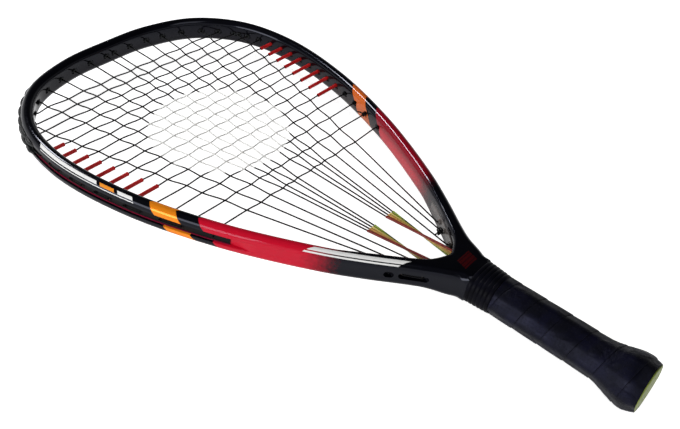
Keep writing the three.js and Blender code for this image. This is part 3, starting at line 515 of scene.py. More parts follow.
def tube(path, radius, sides=12):
    """Round tube along a path, its rings carried along without twist."""
    path = np.asarray(path, float)
    tangents = unit(np.gradient(path, axis=0))
    right, _ = square_pair(tangents[0])
    rings = []
    for point, tangent in zip(path, tangents):
        right = unit(right - tangent * np.dot(right, tangent))
        rings.append(round_ring(point, right, np.cross(right, tangent), radius, sides))
    return loft(rings, along=run_length(path))


def turned(profile, base, direction, sides=24):
    """Body turned about an axis: the profile gives (distance along, radius) from outside to bore and back."""
    direction = unit(direction)
    right, above = square_pair(direction)
    rings = [round_ring(base + direction * s, right, above, radius, sides) for s, radius in profile]
    return loft(rings, closed=True)


def lining(start, end, outer=LINING_RADIUS, bore=LINING_BORE, flare=0.0):
    """Round tube with a bore and rounded, slightly flared lips, from start to end."""
    length = np.linalg.norm(end - start)
    lip = min(0.5, length / 6)
    profile = [
        (0, bore + 0.1), (0, outer + flare - 0.15), (lip * 0.3, outer + flare), (lip, outer + flare),
        (lip * 2, outer), (length - 0.2, outer), (length, outer - 0.2), (length, bore), (lip, bore),
    ]
    return turned(profile, start, end - start, 20)


def shade(mesh, sharp=38.0):
    """Smooth shading, but for edges sharper than an angle in degrees."""
    mesh.shade_smooth()
    mesh.set_sharp_from_angle(angle=math.radians(sharp))


def build_mesh(name, shells, sharp=38.0):
    points, faces, uvs, base = [], [], [], 0
    for shell_points, shell_faces, shell_uvs in shells:
        points.append(shell_points)
        faces += [[index + base for index in face] for face in shell_faces]
        uvs += shell_uvs
        base += len(shell_points)
    mesh = bpy.data.meshes.new(name)
    mesh.from_pydata((np.vstack(points) * MM).tolist(), [], faces)
    layer = mesh.uv_layers.new(name="UVMap")
    layer.data.foreach_set("uv", np.concatenate([np.ravel(corner) for corner in uvs]).astype(np.float32))
    mesh.validate()
    shade(mesh, sharp)
    return mesh


def write_attribute(mesh, name, values):
    mesh.attributes.new(name, "FLOAT", "POINT").data.foreach_set("value", values.astype(np.float32))


def dress_mesh(name, mesh, surface, slot, *nodes):
    """Put a mesh in the scene as a piece of the racket that stands for the named solids."""
    piece = add_object(name, mesh)
    mesh.materials.clear()
    mesh.materials.append(surface)
    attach(piece, "root")
    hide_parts(*nodes)


def dress(name, shells, surface, slot, node, sharp=38.0):
    dress_mesh(name, build_mesh(name, shells, sharp), surface, slot, node)


# Hoop centre line
def centre_line(samples=1440, per_span=80):
    """Closed curve through the outline's points: its points, its outward normals and its length."""
    right = [np.array([x * HOOP_HALF_WIDTH, THROAT_CENTRE_Y + y * HOOP_LENGTH])
             for x, y in reversed(OUTLINE_SHARES)]
    left = [p * [-1, 1] for p in right[1:-1]][::-1]
    knots = right + left
    raw = []
    for i in range(len(knots)):
        p0, p1, p2, p3 = (knots[(i + k) % len(knots)] for k in (-1, 0, 1, 2))
        d0, d1, d2 = (np.sum((a - b) ** 2) ** 0.25 for a, b in ((p0, p1), (p1, p2), (p2, p3)))
        t1 = ((p1 - p0) / d0 - (p2 - p0) / (d0 + d1) + (p2 - p1) / d1) * d1
        t2 = ((p2 - p1) / d1 - (p3 - p1) / (d1 + d2) + (p3 - p2) / d2) * d1
        t = np.linspace(0, 1, per_span, endpoint=False)[:, None]
        raw.append(p1 + t1 * t + (3 * (p2 - p1) - 2 * t1 - t2) * t ** 2 + (2 * (p1 - p2) + t1 + t2) * t ** 3)
    raw = np.vstack(raw)
    loop = np.vstack([raw, raw[:1]])
    run = run_length(loop)
    places = np.linspace(0, run[-1], samples, endpoint=False)
    points = along_path(places, run, loop)
    along = unit(np.roll(points, -1, 0) - np.roll(points, 1, 0))
    return points, np.stack([along[:, 1], -along[:, 0]], 1), run[-1]


HOOP_POINTS, HOOP_NORMALS, HOOP_ROUND = centre_line()
HALF_ROUND = HOOP_ROUND / 2


def on_hoop(distance, out=0.0, z=0.0):
    """Points at distances along the centre line, moved out from it and up."""
    count = len(HOOP_POINTS)
    spot = np.mod(np.asarray(distance, float) / HOOP_ROUND * count, count)
    i = np.floor(spot).astype(int) % count
    share = (spot - np.floor(spot))[..., None]
    j = (i + 1) % count
    point = HOOP_POINTS[i] * (1 - share) + HOOP_POINTS[j] * share
    normal = HOOP_NORMALS[i] * (1 - share) + HOOP_NORMALS[j] * share
    flat = point + unit(normal) * np.asarray(out, float)[..., None]
    height = np.broadcast_to(np.asarray(z, float)[..., None], flat.shape[:-1] + (1,))
    return np.concatenate([flat, height], -1)


def hoop_normal(distance):
    """Unit vector out of the hoop at a distance."""
    return on_hoop(distance, 1.0) - on_hoop(distance, 0.0)


def distance_where(gauge, low=0.0, high=None):
    """Distance at which a gauge passes zero, found by halving."""
    high = HALF_ROUND if high is None else high
    rising = gauge(high) > gauge(low)
    for _ in range(42):
        middle = (low + high) / 2
        if (gauge(middle) > 0) == rising:
            high = middle
        else:
            low = middle
    return (low + high) / 2


def distance_at_y(y, out=0.0):
    return distance_where(lambda d: on_hoop(d, out)[1] - y)


def sweep(distances, section, side=1):
    """Skin of a section of (out, z) points along the hoop; the section may be a function of distance."""
    rings = []
    for d in distances:
        outline = np.asarray(section(d) if callable(section) else section, float)
        ring = on_hoop(np.full(len(outline), d), outline[:, 0], outline[:, 1])
        ring[:, 0] *= side
        rings.append(ring)
    return loft(rings, along=distances)


# String ports
cross_rows = []
row_share = FIRST_CROSS_SHARE
for row in range(CROSS_COUNT):
    cross_rows.append(THROAT_CENTRE_Y + row_share * HOOP_LENGTH)
    row_share += HEAD_PITCH_SHARE + (THROAT_PITCH_SHARE - HEAD_PITCH_SHARE) * PITCH_DECAY_SHARE ** row


class Port:
    """A string hole on the +X side: where it meets the inner wall, and the way it is drilled."""

    def __init__(self, distance, direction=None):
        self.distance = distance
        self.inner = on_hoop(distance, -HALF_BEAM)
        self.normal = hoop_normal(distance)
        self.direction = self.normal if direction is None else direction

    def at(self, out, side=1):
        """Point on the port's line that lies so far out of the centre line."""
        reach = (out + HALF_BEAM) / np.dot(self.direction, self.normal)
        return (self.inner + self.direction * reach) * [side, 1, 1]

    def toward(self, side=1):
        return self.direction * [side, 1, 1]


def string_port(distance, along):
    """Port drilled along the string, or square to the wall where the string meets it at too low an angle."""
    normal = hoop_normal(distance)
    turned_away = math.acos(min(1.0, float(np.dot(along, normal)))) > SQUARE_PORT_ANGLE
    return Port(distance, None if turned_away else along)


cross_ports = [string_port(distance_at_y(y, -HALF_BEAM), ACROSS) for y in cross_rows]

low_port, high_port = cross_ports[OUTER_MAIN_ROW - 1], cross_ports[OUTER_MAIN_ROW]
outer_distance = low_port.distance + OUTER_MAIN_SHARE * (high_port.distance - low_port.distance)
main_high_y = THROAT_CENTRE_Y + MAIN_HIGH_SHARE * HOOP_LENGTH
main_highs = [on_hoop(outer_distance, -HALF_BEAM)]
main_highs += [np.array([share * HOOP_HALF_WIDTH, main_high_y, 0]) for share in MAIN_SPREAD_SHARES]
main_lines = []
for pair, high_point in enumerate(main_highs):
    if pair < len(PLAIN_MAIN_SHARES):
        low_point = np.array([PLAIN_MAIN_SHARES[pair] * HOOP_HALF_WIDTH, cross_rows[0], 0])
    else:
        low_point = np.array([BUNDLE_TOP_X + (MAINS_PER_SIDE - 1 - pair) * BUNDLE_PITCH, BUNDLE_TOP_Y, 0])
    main_lines.append((low_point, unit(high_point - low_point)))

widest = distance_at_y(THROAT_CENTRE_Y + max(OUTLINE_SHARES)[1] * HOOP_LENGTH)


def tip_port(line):
    """Port where a main's line meets the inner wall beyond the widest place."""
    low, along = line
    across = np.array([-along[1], along[0], 0])
    distance = distance_where(lambda d: np.dot(on_hoop(d, -HALF_BEAM) - low, across), widest, HALF_ROUND)
    return string_port(distance, along)


tip_ports = [tip_port(line) for line in main_lines]
throat_way = np.array([math.cos(THROAT_PORT_ANGLE), math.sin(THROAT_PORT_ANGLE), 0])
eyelet_clear_x = BUNDLE_WALL_X + SLOT_HALF_WIDTH + EYELET_STRIP_GAP
eyelet_start = distance_where(
    lambda d: on_hoop(d, -HALF_BEAM - EYELET_STRIP_FACE)[0] - eyelet_clear_x, 0, widest)
throat_ports = [Port(eyelet_start + EYELET_LEAD + share * HALF_ROUND, throat_way) for share in EYELET_SHARES]
strip_start = cross_ports[0].distance - STRIP_LEAD
row_before, row_after = cross_ports[TUBED_ROWS[-1]].distance, cross_ports[TUBED_ROWS[-1] + 1].distance
strip_end = row_before + STRIP_END_SHARE * (row_after - row_before)
guard_start = strip_end + GUARD_GAP


def main_x(pair, y):
    """How far a main lies from the middle at a height."""
    low, along = main_lines[pair]
    return low[0] + along[0] / along[1] * (y - low[1])


def crossings_of(pair):
    """Rows of the cross string that a main meets inside the opening."""
    top = tip_ports[pair].inner[1] - CROSSING_MARGIN
    return [row for row, y in enumerate(cross_rows)
            if main_x(pair, y) < cross_ports[row].inner[0] - CROSSING_MARGIN and y < top]


# Frame
def shoulder_half_width(y):
    """Half width of the moulding at a height: shaft, shoulder, then the hoop's own outer wall."""
    blur = 45
    heights = [SHOULDER_START_Y + rise * (SHOULDER_END_Y - SHOULDER_START_Y) for rise, _ in SHOULDER_SHARES]
    spread = SHOULDER_END_HALF_WIDTH - SHOULDER_START_HALF_WIDTH
    widths = [SHOULDER_START_HALF_WIDTH + share * spread for _, share in SHOULDER_SHARES]
    fine = np.linspace(heights[0], heights[-1], 240)
    raw = np.interp(fine, heights, widths)
    before = raw[0] + np.arange(-(blur // 2), 0) * (raw[1] - raw[0])
    after = raw[-1] + np.arange(1, blur // 2 + 1) * (raw[-1] - raw[-2])
    smooth = smoothed(np.concatenate([before, raw, after]), blur)
    shaft = np.interp(y, [SHAFT_END_Y, NECK_TOP_Y, NECK_TOP_Y + 0.8, SHOULDER_START_Y],
                      [NECK_HALF_WIDTH, NECK_HALF_WIDTH, smooth[0] - 0.3, smooth[0]])
    return np.where(y < SHOULDER_START_Y, shaft, np.interp(y, fine, smooth))


def crown_height(y):
    """Half height of the moulding: the beam's, rising over the shaft, with a lower neck in the collar."""
    rise = np.clip((SHOULDER_START_Y + CROWN_LENGTH - y) / CROWN_LENGTH, 0, 1)
    rise = rise * rise * (3 - 2 * rise)
    height = BEAM_HEIGHT / 2 + (SHOULDER_START_HALF_HEIGHT - BEAM_HEIGHT / 2) * rise
    return np.where(y < NECK_TOP_Y, BEAM_HEIGHT / 2, height)


def outer_edge():
    """The moulding's outer edge on the +X side, from under the collar to where the hoop runs on alone."""
    leg = np.linspace(30, distance_at_y(JOIN_Y, HALF_BEAM), 500)
    wall = on_hoop(leg, HALF_BEAM)
    heights = np.arange(SHAFT_END_Y, JOIN_Y, 0.4)
    own = np.interp(heights, wall[:, 1], wall[:, 0], left=0)
    moulding = np.where(heights < SHOULDER_END_Y, shoulder_half_width(heights), 0)
    widths = 0.5 * (own + moulding + np.sqrt((own - moulding) ** 2 + EDGE_BLEND_SOFTNESS))
    widths = np.where(heights > SHOULDER_END_Y - 1, own, widths)
    widths = np.where(heights < SHAFT_ONLY_Y, moulding, widths)
    blend = (heights > EDGE_BLEND_Y[0]) & (heights < EDGE_BLEND_Y[1])
    widths = np.where(blend, smoothed(np.pad(widths, 15, mode="edge"), 31), widths)
    foot_x = np.linspace(0, widths[0], SHAFT_FOOT_POINTS, endpoint=False)
    foot = np.stack([foot_x, np.full(SHAFT_FOOT_POINTS, SHAFT_END_Y)], 1)
    edge = np.vstack([foot, np.stack([widths, heights], 1), wall[-1:, :2]])
    return edge, leg[-1]


def side_edge(end):
    """The outer edge without the shaft's foot, run on along the hoop to a distance."""
    edge, join = outer_edge()
    return np.vstack([edge[SHAFT_FOOT_POINTS:], on_hoop(np.linspace(join, end, 60), HALF_BEAM)[:, :2]])


def least_distance(points, edge):
    """Distance from each point to a polyline."""
    a, b = edge[:-1], edge[1:]
    way = b - a
    rel = points[:, None] - a[None]
    share = np.clip((rel * way).sum(-1) / np.maximum((way ** 2).sum(-1), 1e-9), 0, 1)
    return np.sqrt(((rel - share[..., None] * way) ** 2).sum(-1).min(1))


def edge_rise(away, radius):
    """Height over the flank of an edge rounded to a radius, at a distance from the edge."""
    inset = radius - np.minimum(away, radius)
    return HALF_BEAM - radius + np.sqrt(np.maximum(radius ** 2 - inset ** 2, 0))


def groove_section():
    """Outer wall from top to bottom: share of the flank's height, and share of the groove's depth."""
    brink = GROOVE_HALF_HEIGHT / CROWN_RISE
    upper = [(0.72, 0), (brink + 0.05, 0), (brink, 0.12), (brink - 0.05, 1), (0.35, 1)]
    return np.array(upper + [(0, 1)] + [(-z, depth) for z, depth in reversed(upper)]).T


def crown_top(line, from_inner, from_outer):
    """Height of the moulding's top along a line across it, rounded at both edges and fuller between."""
    corner = np.interp(line[0][1], [THROAT_EDGE_END_Y, LEG_EDGE_START_Y], [THROAT_EDGE_RADIUS, HALF_BEAM])
    crest = np.maximum(np.minimum(from_inner, from_outer) - HALF_BEAM, 0)
    rounded = np.minimum(edge_rise(from_inner, corner), edge_rise(from_outer, HALF_BEAM))
    level = crown_height(line[:, 1]) - HALF_BEAM
    return level + rounded + CREST_RISE * (1 - np.exp(-(crest / CREST_SPREAD) ** 2))


def frame_rings(step=2.2, top_steps=26):
    """Rings of the moulding along the hoop: its top, grooved outer wall, underside and inner wall."""
    edge, join = outer_edge()
    edge_run = run_length(edge)
    distances = np.linspace(0, HALF_ROUND, int(HALF_ROUND / step) + 1)
    inner = on_hoop(distances, -HALF_BEAM)[:, :2]
    share = np.clip(distances / join, 0, 1)
    reach = edge_run[-1] * (share + (1 - join / edge_run[-1]) * share * (1 - share))
    on_edge = along_path(reach, edge_run, edge)
    outer = np.where((distances < join)[:, None], on_edge, on_hoop(distances, HALF_BEAM)[:, :2])
    inner_edge = on_hoop(np.linspace(-60, join + 80, 700), -HALF_BEAM)[:, :2]
    right_edge = side_edge(join + 60)
    t = (1 - np.cos(np.pi * np.arange(top_steps + 1) / top_steps)) / 2
    flank_z, flank_in = groove_section()
    rings = []
    for d, a, b in zip(distances, inner, outer):
        line = a + (b - a) * t[:, None]
        width = np.linalg.norm(b - a)
        if d < join:
            from_inner = least_distance(line, inner_edge)
            from_outer = np.minimum(*(least_distance(line, right_edge * [side, 1]) for side in (1, -1)))
        else:
            from_inner, from_outer = t * width, (1 - t) * width
        from_inner[0] = from_outer[-1] = 0
        top = crown_top(line, from_inner, from_outer)
        rise = (min(d, HOOP_ROUND - d) - strip_start + GROOVE_LEAD + GROOVE_RUN_OUT) / GROOVE_RUN_OUT
        depth = GROOVE_DEPTH * min(1, max(0, rise))
        wall = b - (b - a) / width * (depth * flank_in)[:, None]
        flank = crown_height(line[-1:, 1]) - HALF_BEAM
        inner_z = np.array([-0.6, -0.2, 0.2, 0.6]) * top[0]
        rings.append(np.vstack([
            np.column_stack([line, top]), np.column_stack([wall, flank_z * flank]),
            np.column_stack([line[::-1], -top[::-1]]), np.column_stack([np.tile(a, (4, 1)), inner_z]),
        ]))
    rings = np.array(rings)
    return np.concatenate([rings, rings[1:-1][::-1] * [-1, 1, 1]])


def oval_ring(centre, along, across, half_long, half_short, count=20):
    turn = 2 * np.pi * np.arange(count) / count
    shift = np.sign(np.cos(turn)) * (half_long - half_short) + half_short * np.cos(turn)
    return centre + shift[:, None] * along + (half_short * np.sin(turn))[:, None] * across


def port_cutter(port, side, deep):
    """Hole for a string lining, with an oval dish where it opens on the inner wall: (out, half sizes)."""
    across = np.cross(UP, port.toward(side))
    sizes = [(-HALF_BEAM - 1.0, 4.4, 3.0), (-HALF_BEAM + 0.7, 3.0, 2.2)]
    sizes += [(out, 2.05, 2.04) for out in (-HALF_BEAM + 0.7, deep)]
    return loft([oval_ring(port.at(out, side), across, UP, *halves) for out, *halves in sizes])


def recess_cutter(a, b, way, side):
    """Oblong pocket in a shoulder's outer wall for the string that turns back there."""
    flip = np.array([side, 1, 1])
    a, b, way = a * flip, b * flip, way * flip
    gap = np.linalg.norm(b - a)
    along = unit(b - a) if gap > 0.1 else np.cross(UP, way)
    half = gap / 2 + 3.6
    return loft([oval_ring((a + b) / 2 + way * out, along, UP, half + more, short, 28)
                 for out, more, short in ((0, 0, 2.6), (7, 0.6, 3.0))])


def slot_cutter(side):
    """Upright slot in the throat that a bundle of tubes goes into."""
    middle = np.array([side * (BUNDLE_WALL_X + 0.3), OPENING_END_Y, 0])
    stack = BUNDLE_MIDDLE * STACK_PITCH + 1.35
    return loft([oval_ring(middle + [0, dy, 0], UP, ACROSS, stack, 1.75, 28) for dy in (-9, 8)])


def shoulder_exit(port):
    """Where a port's line leaves the shoulder's outer wall."""
    travel = 2 * HALF_BEAM
    while True:
        point = port.inner + port.direction * travel
        if point[0] >= shoulder_half_width(point[1]):
            return point
        travel += 0.3


recess_floor = [shoulder_exit(port) - port.direction * RECESS_DEPTH for port in throat_ports]


def cut_ports(shell):
    """Mesh of the moulding with every port, pocket and slot cut out of it."""
    cutters = []
    for side in (-1, 1):
        cutters += [port_cutter(port, side, HALF_BEAM + 1) for port in cross_ports + tip_ports]
        for a, b in ((0, 0), (1, 2)):
            cutters.append(recess_cutter(recess_floor[a], recess_floor[b], throat_way, side))
        cutters.append(slot_cutter(side))
    tool = add_object("port_tool", build_mesh("port_tool", cutters))
    cut = shell.modifiers.new("ports", "BOOLEAN")
    cut.operation = "DIFFERENCE"
    cut.solver = "EXACT"
    cut.use_self = True
    cut.object = tool
    mesh = bpy.data.meshes.new_from_object(shell.evaluated_get(bpy.context.evaluated_depsgraph_get()))
    mesh.name = "frame_shell_cut"
    bpy.data.objects.remove(tool)
    return mesh


def out_of_line(points):
    """How far points lie outside the hoop's centre line."""
    nearest = np.argmin(((points[:, None, :2] - HOOP_POINTS[None]) ** 2).sum(-1), 1)
    return ((points[:, :2] - HOOP_POINTS[nearest]) * HOOP_NORMALS[nearest]).sum(-1)


def in_blocks(measure, points, size):
    """A measure of many points, taken a block at a time to save memory."""
    return np.concatenate([measure(block) for block in np.array_split(points, max(1, len(points) // size))])


def write_paint_measures(mesh):
    """Give each point its way round the moulding, its way in from the rim, and whether it lies outside."""
    points = np.empty(len(mesh.vertices) * 3)
    mesh.vertices.foreach_get("co", points)
    points = points.reshape(-1, 3) / MM
    out = in_blocks(out_of_line, points, 2000)
    rise = np.abs(points[:, 2]) - CROWN_RISE
    turn = np.arctan2(np.abs(out), np.maximum(rise, 1e-3))
    arc = np.where(rise > 0, HALF_BEAM * turn, HALF_BEAM * np.pi / 2 - rise)
    whole = HALF_BEAM * np.pi + 2 * CROWN_RISE
    edge = side_edge(distance_at_y(275, HALF_BEAM))
    rim = np.full(len(points), 99.0)
    low = points[:, 1] < 262
    folded = np.column_stack([np.abs(points[low][:, 0]), points[low][:, 1]])
    rim[low] = in_blocks(lambda block: least_distance(block, edge), folded, 500)
    write_attribute(mesh, "around", np.where(points[:, 2] >= 0, arc, whole - arc))
    write_attribute(mesh, "rim", rim)
    write_attribute(mesh, "outside", np.clip(out / 1.5 + 0.5, 0, 1))


def smooth_frame():
    """The moulding with its ports cut, and the measures that its paint follows."""
    rings = frame_rings()
    mesh = build_mesh("frame_shell", [loft(rings, closed=True, along=np.linspace(0, HOOP_ROUND, len(rings)))])
    shell = add_object("frame_shell", mesh)
    mesh = cut_ports(shell)
    bpy.data.objects.remove(shell)
    shade(mesh)
    write_paint_measures(mesh)
    return mesh


# Strings
def ease(path, count=8):
    """Fill a path in: straight in plan, and rising and falling smoothly between its points."""
    out = []
    for a, b in zip(path[:-1], path[1:]):
        a, b = np.asarray(a, float), np.asarray(b, float)
        wave = abs(b[2] - a[2]) > 1e-6
        n = count if wave else max(1, int(np.linalg.norm(b - a) / 12))
        for k in range(n):
            t = k / n
            p = a + (b - a) * t
            if wave:
                p[2] = a[2] + (b[2] - a[2]) * (1 - math.cos(math.pi * t)) / 2
            out.append(p)
    out.append(np.asarray(path[-1], float))
    return out


def round_corners(path, radius=1.3, limit=0.35):
    """Replace each sharp turn of a path by a short curve."""
    out = [path[0]]
    for before, here, after in zip(path[:-2], path[1:-1], path[2:]):
        into, away = here - before, after - here
        a, b = np.linalg.norm(into), np.linalg.norm(away)
        if a < 1e-6 or b < 1e-6:
            continue
        into, away = into / a, away / b
        if math.acos(max(-1, min(1, float(np.dot(into, away))))) < limit:
            out.append(here)
            continue
        reach = min(radius, a * 0.45, b * 0.45)
        start, end = here - into * reach, here + away * reach
        for t in (0, 0.25, 0.5, 0.75, 1):
            out.append((1 - t) ** 2 * start + 2 * t * (1 - t) * here + t * t * end)
    out.append(path[-1])
    return out


def groove_run(start, end, out, sidestep=0.0):
    """A string's way along the groove between two ports, beside another string where it meets one."""
    if sidestep:
        way = math.copysign(PORT_LEAD, end - start)
        return [on_hoop(start + way + (end - start - 2 * way) * t, out, -sidestep) for t in (0, 0.5, 1)]
    steps = max(1, round(abs(end - start) / 3))
    return [on_hoop(start + (end - start) * i / steps, out) for i in range(1, steps)]


def groove_distance(port, side):
    """Distance round the hoop at which a port's line comes out in the groove."""
    exit_point = port.at(STRING_LEVEL)

    def gauge(d):
        normal = hoop_normal(d)
        return np.dot(on_hoop(d) - exit_point, [-normal[1], normal[0], 0])
    own = distance_where(gauge, port.distance - 12, port.distance + 12)
    return own if side > 0 else 2 * HALF_ROUND - own


def weave(column, row):
    """Whether a main lies over (1) or under (-1) a cross."""
    return 1 if (column + row) % 2 else -1


def column_pair(column):
    """Side of a column of the main string, and its pair, counted from the outermost inwards."""
    side = -1 if column < MAINS_PER_SIDE else 1
    return side, (column if side < 0 else 2 * MAINS_PER_SIDE - 1 - column)


def throat_tube_line(order, side):
    """A bundle's tubes lie side by side at the top and one above the other at the wall."""
    top = np.array([side * (BUNDLE_TOP_X + (BUNDLE_SIZE - 1 - order) * BUNDLE_PITCH), BUNDLE_TOP_Y, 0])
    return top, np.array([side * BUNDLE_WALL_X, TUBE_END_Y, side * (order - BUNDLE_MIDDLE) * STACK_PITCH])


def main_path():
    """Points of the main string, which goes up and down column by column from left to right."""
    path = []
    columns = 2 * MAINS_PER_SIDE
    plain = len(PLAIN_MAIN_SHARES)
    for column in range(columns):
        side, pair = column_pair(column)
        level = STRING_LEVEL + (CROSSED_RISE if pair < 2 else 0)
        run = []
        if pair < plain:
            port = throat_ports[pair]
            floor = recess_floor[pair] * [side, 1, 1] + port.toward(side) * (STRING_RADIUS + 0.6)
            run += [floor, port.at(-HALF_BEAM - EYELET_HEIGHT - 1.5, side)]
        else:
            top, bottom = throat_tube_line(pair - plain, side)
            run += [bottom + unit(bottom - top) * 2.6, top]
        for row in crossings_of(pair):
            y = cross_rows[row]
            run.append(np.array([side * main_x(pair, y), y, WEAVE_LIFT * weave(column, row)]))
        port = tip_ports[pair]
        run += [port.at(-HALF_BEAM - PORT_LEAD, side), port.at(level, side)]
        if column % 2:
            run.reverse()
        path += run
        if column % 2 == 0 and column + 1 < columns:
            next_side, next_pair = column_pair(column + 1)
            next_distance = groove_distance(tip_ports[next_pair], next_side)
            path += groove_run(groove_distance(port, side), next_distance, level)
    return path


def tube_mouth(row):
    """Inner end of a red tube: part of the way from the outermost main to the wall."""
    y = cross_rows[row]
    outer_main = main_x(0, y)
    return np.array([outer_main + TUBE_REACH_SHARE * (cross_ports[row].inner[0] - outer_main), y, 0])


def cross_path():
    """Points of the cross string, which goes from side to side and row by row up to the tip."""
    path = []
    for row, y in enumerate(cross_rows):
        port = cross_ports[row]
        mouths = [tube_mouth(row), port.inner] if row in TUBED_ROWS else [port.at(-HALF_BEAM - PORT_LEAD)]
        flip = np.array([-1, 1, 1])
        run = [port.at(STRING_LEVEL, -1)] + [mouth * flip for mouth in mouths[::-1]]
        for column in range(2 * MAINS_PER_SIDE):
            side, pair = column_pair(column)
            if row in crossings_of(pair):
                run.append(np.array([side * main_x(pair, y), y, -WEAVE_LIFT * weave(column, row)]))
        run += mouths + [port.at(STRING_LEVEL, 1)]
        if row % 2:
            run.reverse()
        path += run
        if row + 1 < CROSS_COUNT:
            side = -1 if row % 2 else 1
            outer_main = tip_ports[0].distance
            between = side < 0 and port.distance < outer_main < cross_ports[row + 1].distance
            path += groove_run(groove_distance(port, side), groove_distance(cross_ports[row + 1], side),
                               STRING_LEVEL, SIDESTEP if between else 0)
    return path


def string_shell(path):
    return tube(round_corners(ease(path)), STRING_RADIUS)


def knot_shells(centre, along, size, tail):
    """Knot round a string where it is tied off, with the short end that is left over."""
    u = np.cross(UP, along)
    turn = np.linspace(0, 2 * np.pi, 61)[:, None]
    loops = (np.sin(turn) + 2 * np.sin(2 * turn)) * u + (np.cos(turn) - 2 * np.cos(2 * turn)) * UP
    path = centre + size * (loops - 1.6 * np.sin(3 * turn) * along)
    share = np.linspace(0, 1, 9)[:, None]
    end = centre + share * tail + np.sin(np.pi * share) * 0.8 * UP
    return [tube(path, STRING_RADIUS, 10), tube(end, STRING_RADIUS, 10)]


# Guard, strips and tubes
def barrel(port, side, top):
    """Lining of a port, from just inside the opening to a level in the groove."""
    return lining(port.at(-HALF_BEAM - BARREL_REACH, side), port.at(top, side), flare=0.25)


def guard_shells():
    """Ribbed guard round the tip, seated in the groove, with the barrels of the upper ports."""
    start, end = guard_start, HOOP_ROUND - guard_start
    pitch = (end - start) / GUARD_TEETH
    floor, seat = GROOVE_FLOOR + SEAT_GAP, HALF_BEAM + SEAT_GAP
    wall, lip, channel = GROOVE_HALF_HEIGHT - 0.05, 5.3, 2.5
    end_rise, end_length, tooth_points = 0.35, 5.0, 14

    def section(d):
        tooth = math.sin(math.pi * ((d - start) / pitch % 1)) ** 0.6
        share = max(0, min(1, (d - start) / end_length, (end - d) / end_length))
        high = HALF_BEAM + end_rise + (GUARD_LOW - end_rise + (GUARD_HIGH - GUARD_LOW) * tooth) * share
        upper = [
            (floor, wall), (seat, wall), (seat, lip - 0.35), (seat + 0.15, lip), (high - 0.6, lip - 0.15),
            (high - 0.15, lip - 0.5), (high, lip - 1.0), (high, channel + 0.5), (high - 0.15, channel + 0.15),
            (high - 0.5, channel), (floor + 0.9, channel - 0.1),
        ]
        return upper + [(out, -z) for out, z in reversed(upper)]
    ports = cross_ports[TUBED_ROWS[-1] + 1:] + tip_ports
    barrels = [barrel(port, side, floor + 0.6) for side in (-1, 1) for port in ports]
    return [sweep(np.linspace(start, end, GUARD_TEETH * tooth_points + 1), section)] + barrels


def strip_shells(side):
    """Strip in a side groove: a channel with two lips, short barrels, and a seat for each red tube."""
    floor = GROOVE_FLOOR + SEAT_GAP
    top, lip = floor + 0.8, floor + 1.3
    half = [(top, 2.7), (lip, 3.0), (lip, 3.5), (floor, 3.5)]
    section = [(out, -z) for out, z in half[::-1]] + half
    shells = [sweep(np.linspace(strip_start, strip_end, 90), section, side)]
    shells += [barrel(port, side, top + 0.1) for port in cross_ports[:TUBED_ROWS[0]]]
    for port in cross_ports[TUBED_ROWS[0]:TUBED_ROWS[-1] + 1]:
        shells.append(lining(port.at(top + 0.35, side), port.at(floor, side), 2.3, 1.1))
    return shells


def red_tube_shell(row, side):
    """Red tube over a cross string, from its mouth into its seat in the side strip."""
    mouth = tube_mouth(row) * [side, 1, 1]
    return lining(mouth, cross_ports[row].at(GROOVE_FLOOR + 1.0, side), 1.6, flare=0.12)


def eyelet_shells(side):
    """Strip on the throat's inner wall, with a raised eyelet and a lining at each of its ports."""
    top, wide = -HALF_BEAM - SEAT_GAP, 4.4
    low = top - 0.9
    half = [(top, wide), (low + 0.4, wide), (low, wide - 0.5)]
    section = [(out, -z) for out, z in half] + half[::-1]
    end = throat_ports[0].distance + EYELET_STRIP_TAIL
    shells = [sweep(np.linspace(eyelet_start, end, 40), section, side)]
    for port, floor in zip(throat_ports, recess_floor):
        mouth, base = port.at(low - EYELET_HEIGHT, side), port.at(low + 0.3, side)
        length = np.linalg.norm(base - mouth)
        profile = [
            (0.25, 1.05), (0, 1.3), (0, 1.7), (0.3, 2.05), (0.8, 2.25), (length, 2.5), (length + 0.4, 2.5),
            (length + 0.4, LINING_BORE),
        ]
        shells += [turned(profile, mouth, base - mouth, 28), lining(base, floor * [side, 1, 1])]
    return shells


def throat_tube_shell(order, side):
    """Coloured tube over a middle main, from the bundle's top into the slot in the throat."""
    return lining(*throat_tube_line(order, side), THROAT_TUBE_RADIUS, 0.8, flare=0.06)


# Handle
def flare_at(y):
    """Half width and height of the wrapped grip: the solid's, with what the soft tape bulges out."""
    share = np.clip(np.asarray(y, float) / FLARE_TOP_Y, 0, 1)
    fine = np.linspace(0, 1, 200)
    raw = np.interp(fine, *zip(*FLARE_SHARES))
    swell = np.interp(share, fine, smoothed(np.pad(raw, 12, mode="edge"), 25))
    bulge = np.interp(y, *zip(*TAPE_BULGES))
    return (GRIP_HALF_WIDTH + (FLARE_HALF_WIDTH - GRIP_HALF_WIDTH) * swell + bulge,
            GRIP_HALF_HEIGHT + (FLARE_HALF_HEIGHT - GRIP_HALF_HEIGHT) * swell + bulge)


def settle(y):
    """How far the soft tape sits off the handle's axis, the same in -X and -Z."""
    return np.interp(y, *zip(*TAPE_SHIFTS))


def settled(ring, y, share=1.0):
    return ring - np.array([1, 0, 1]) * settle(y) * share


def tape_rim(turn):
    """The tape's last edge, which reaches a little past the cap below and stops short of it above."""
    return 0.95 + 0.6 * np.sin(turn)


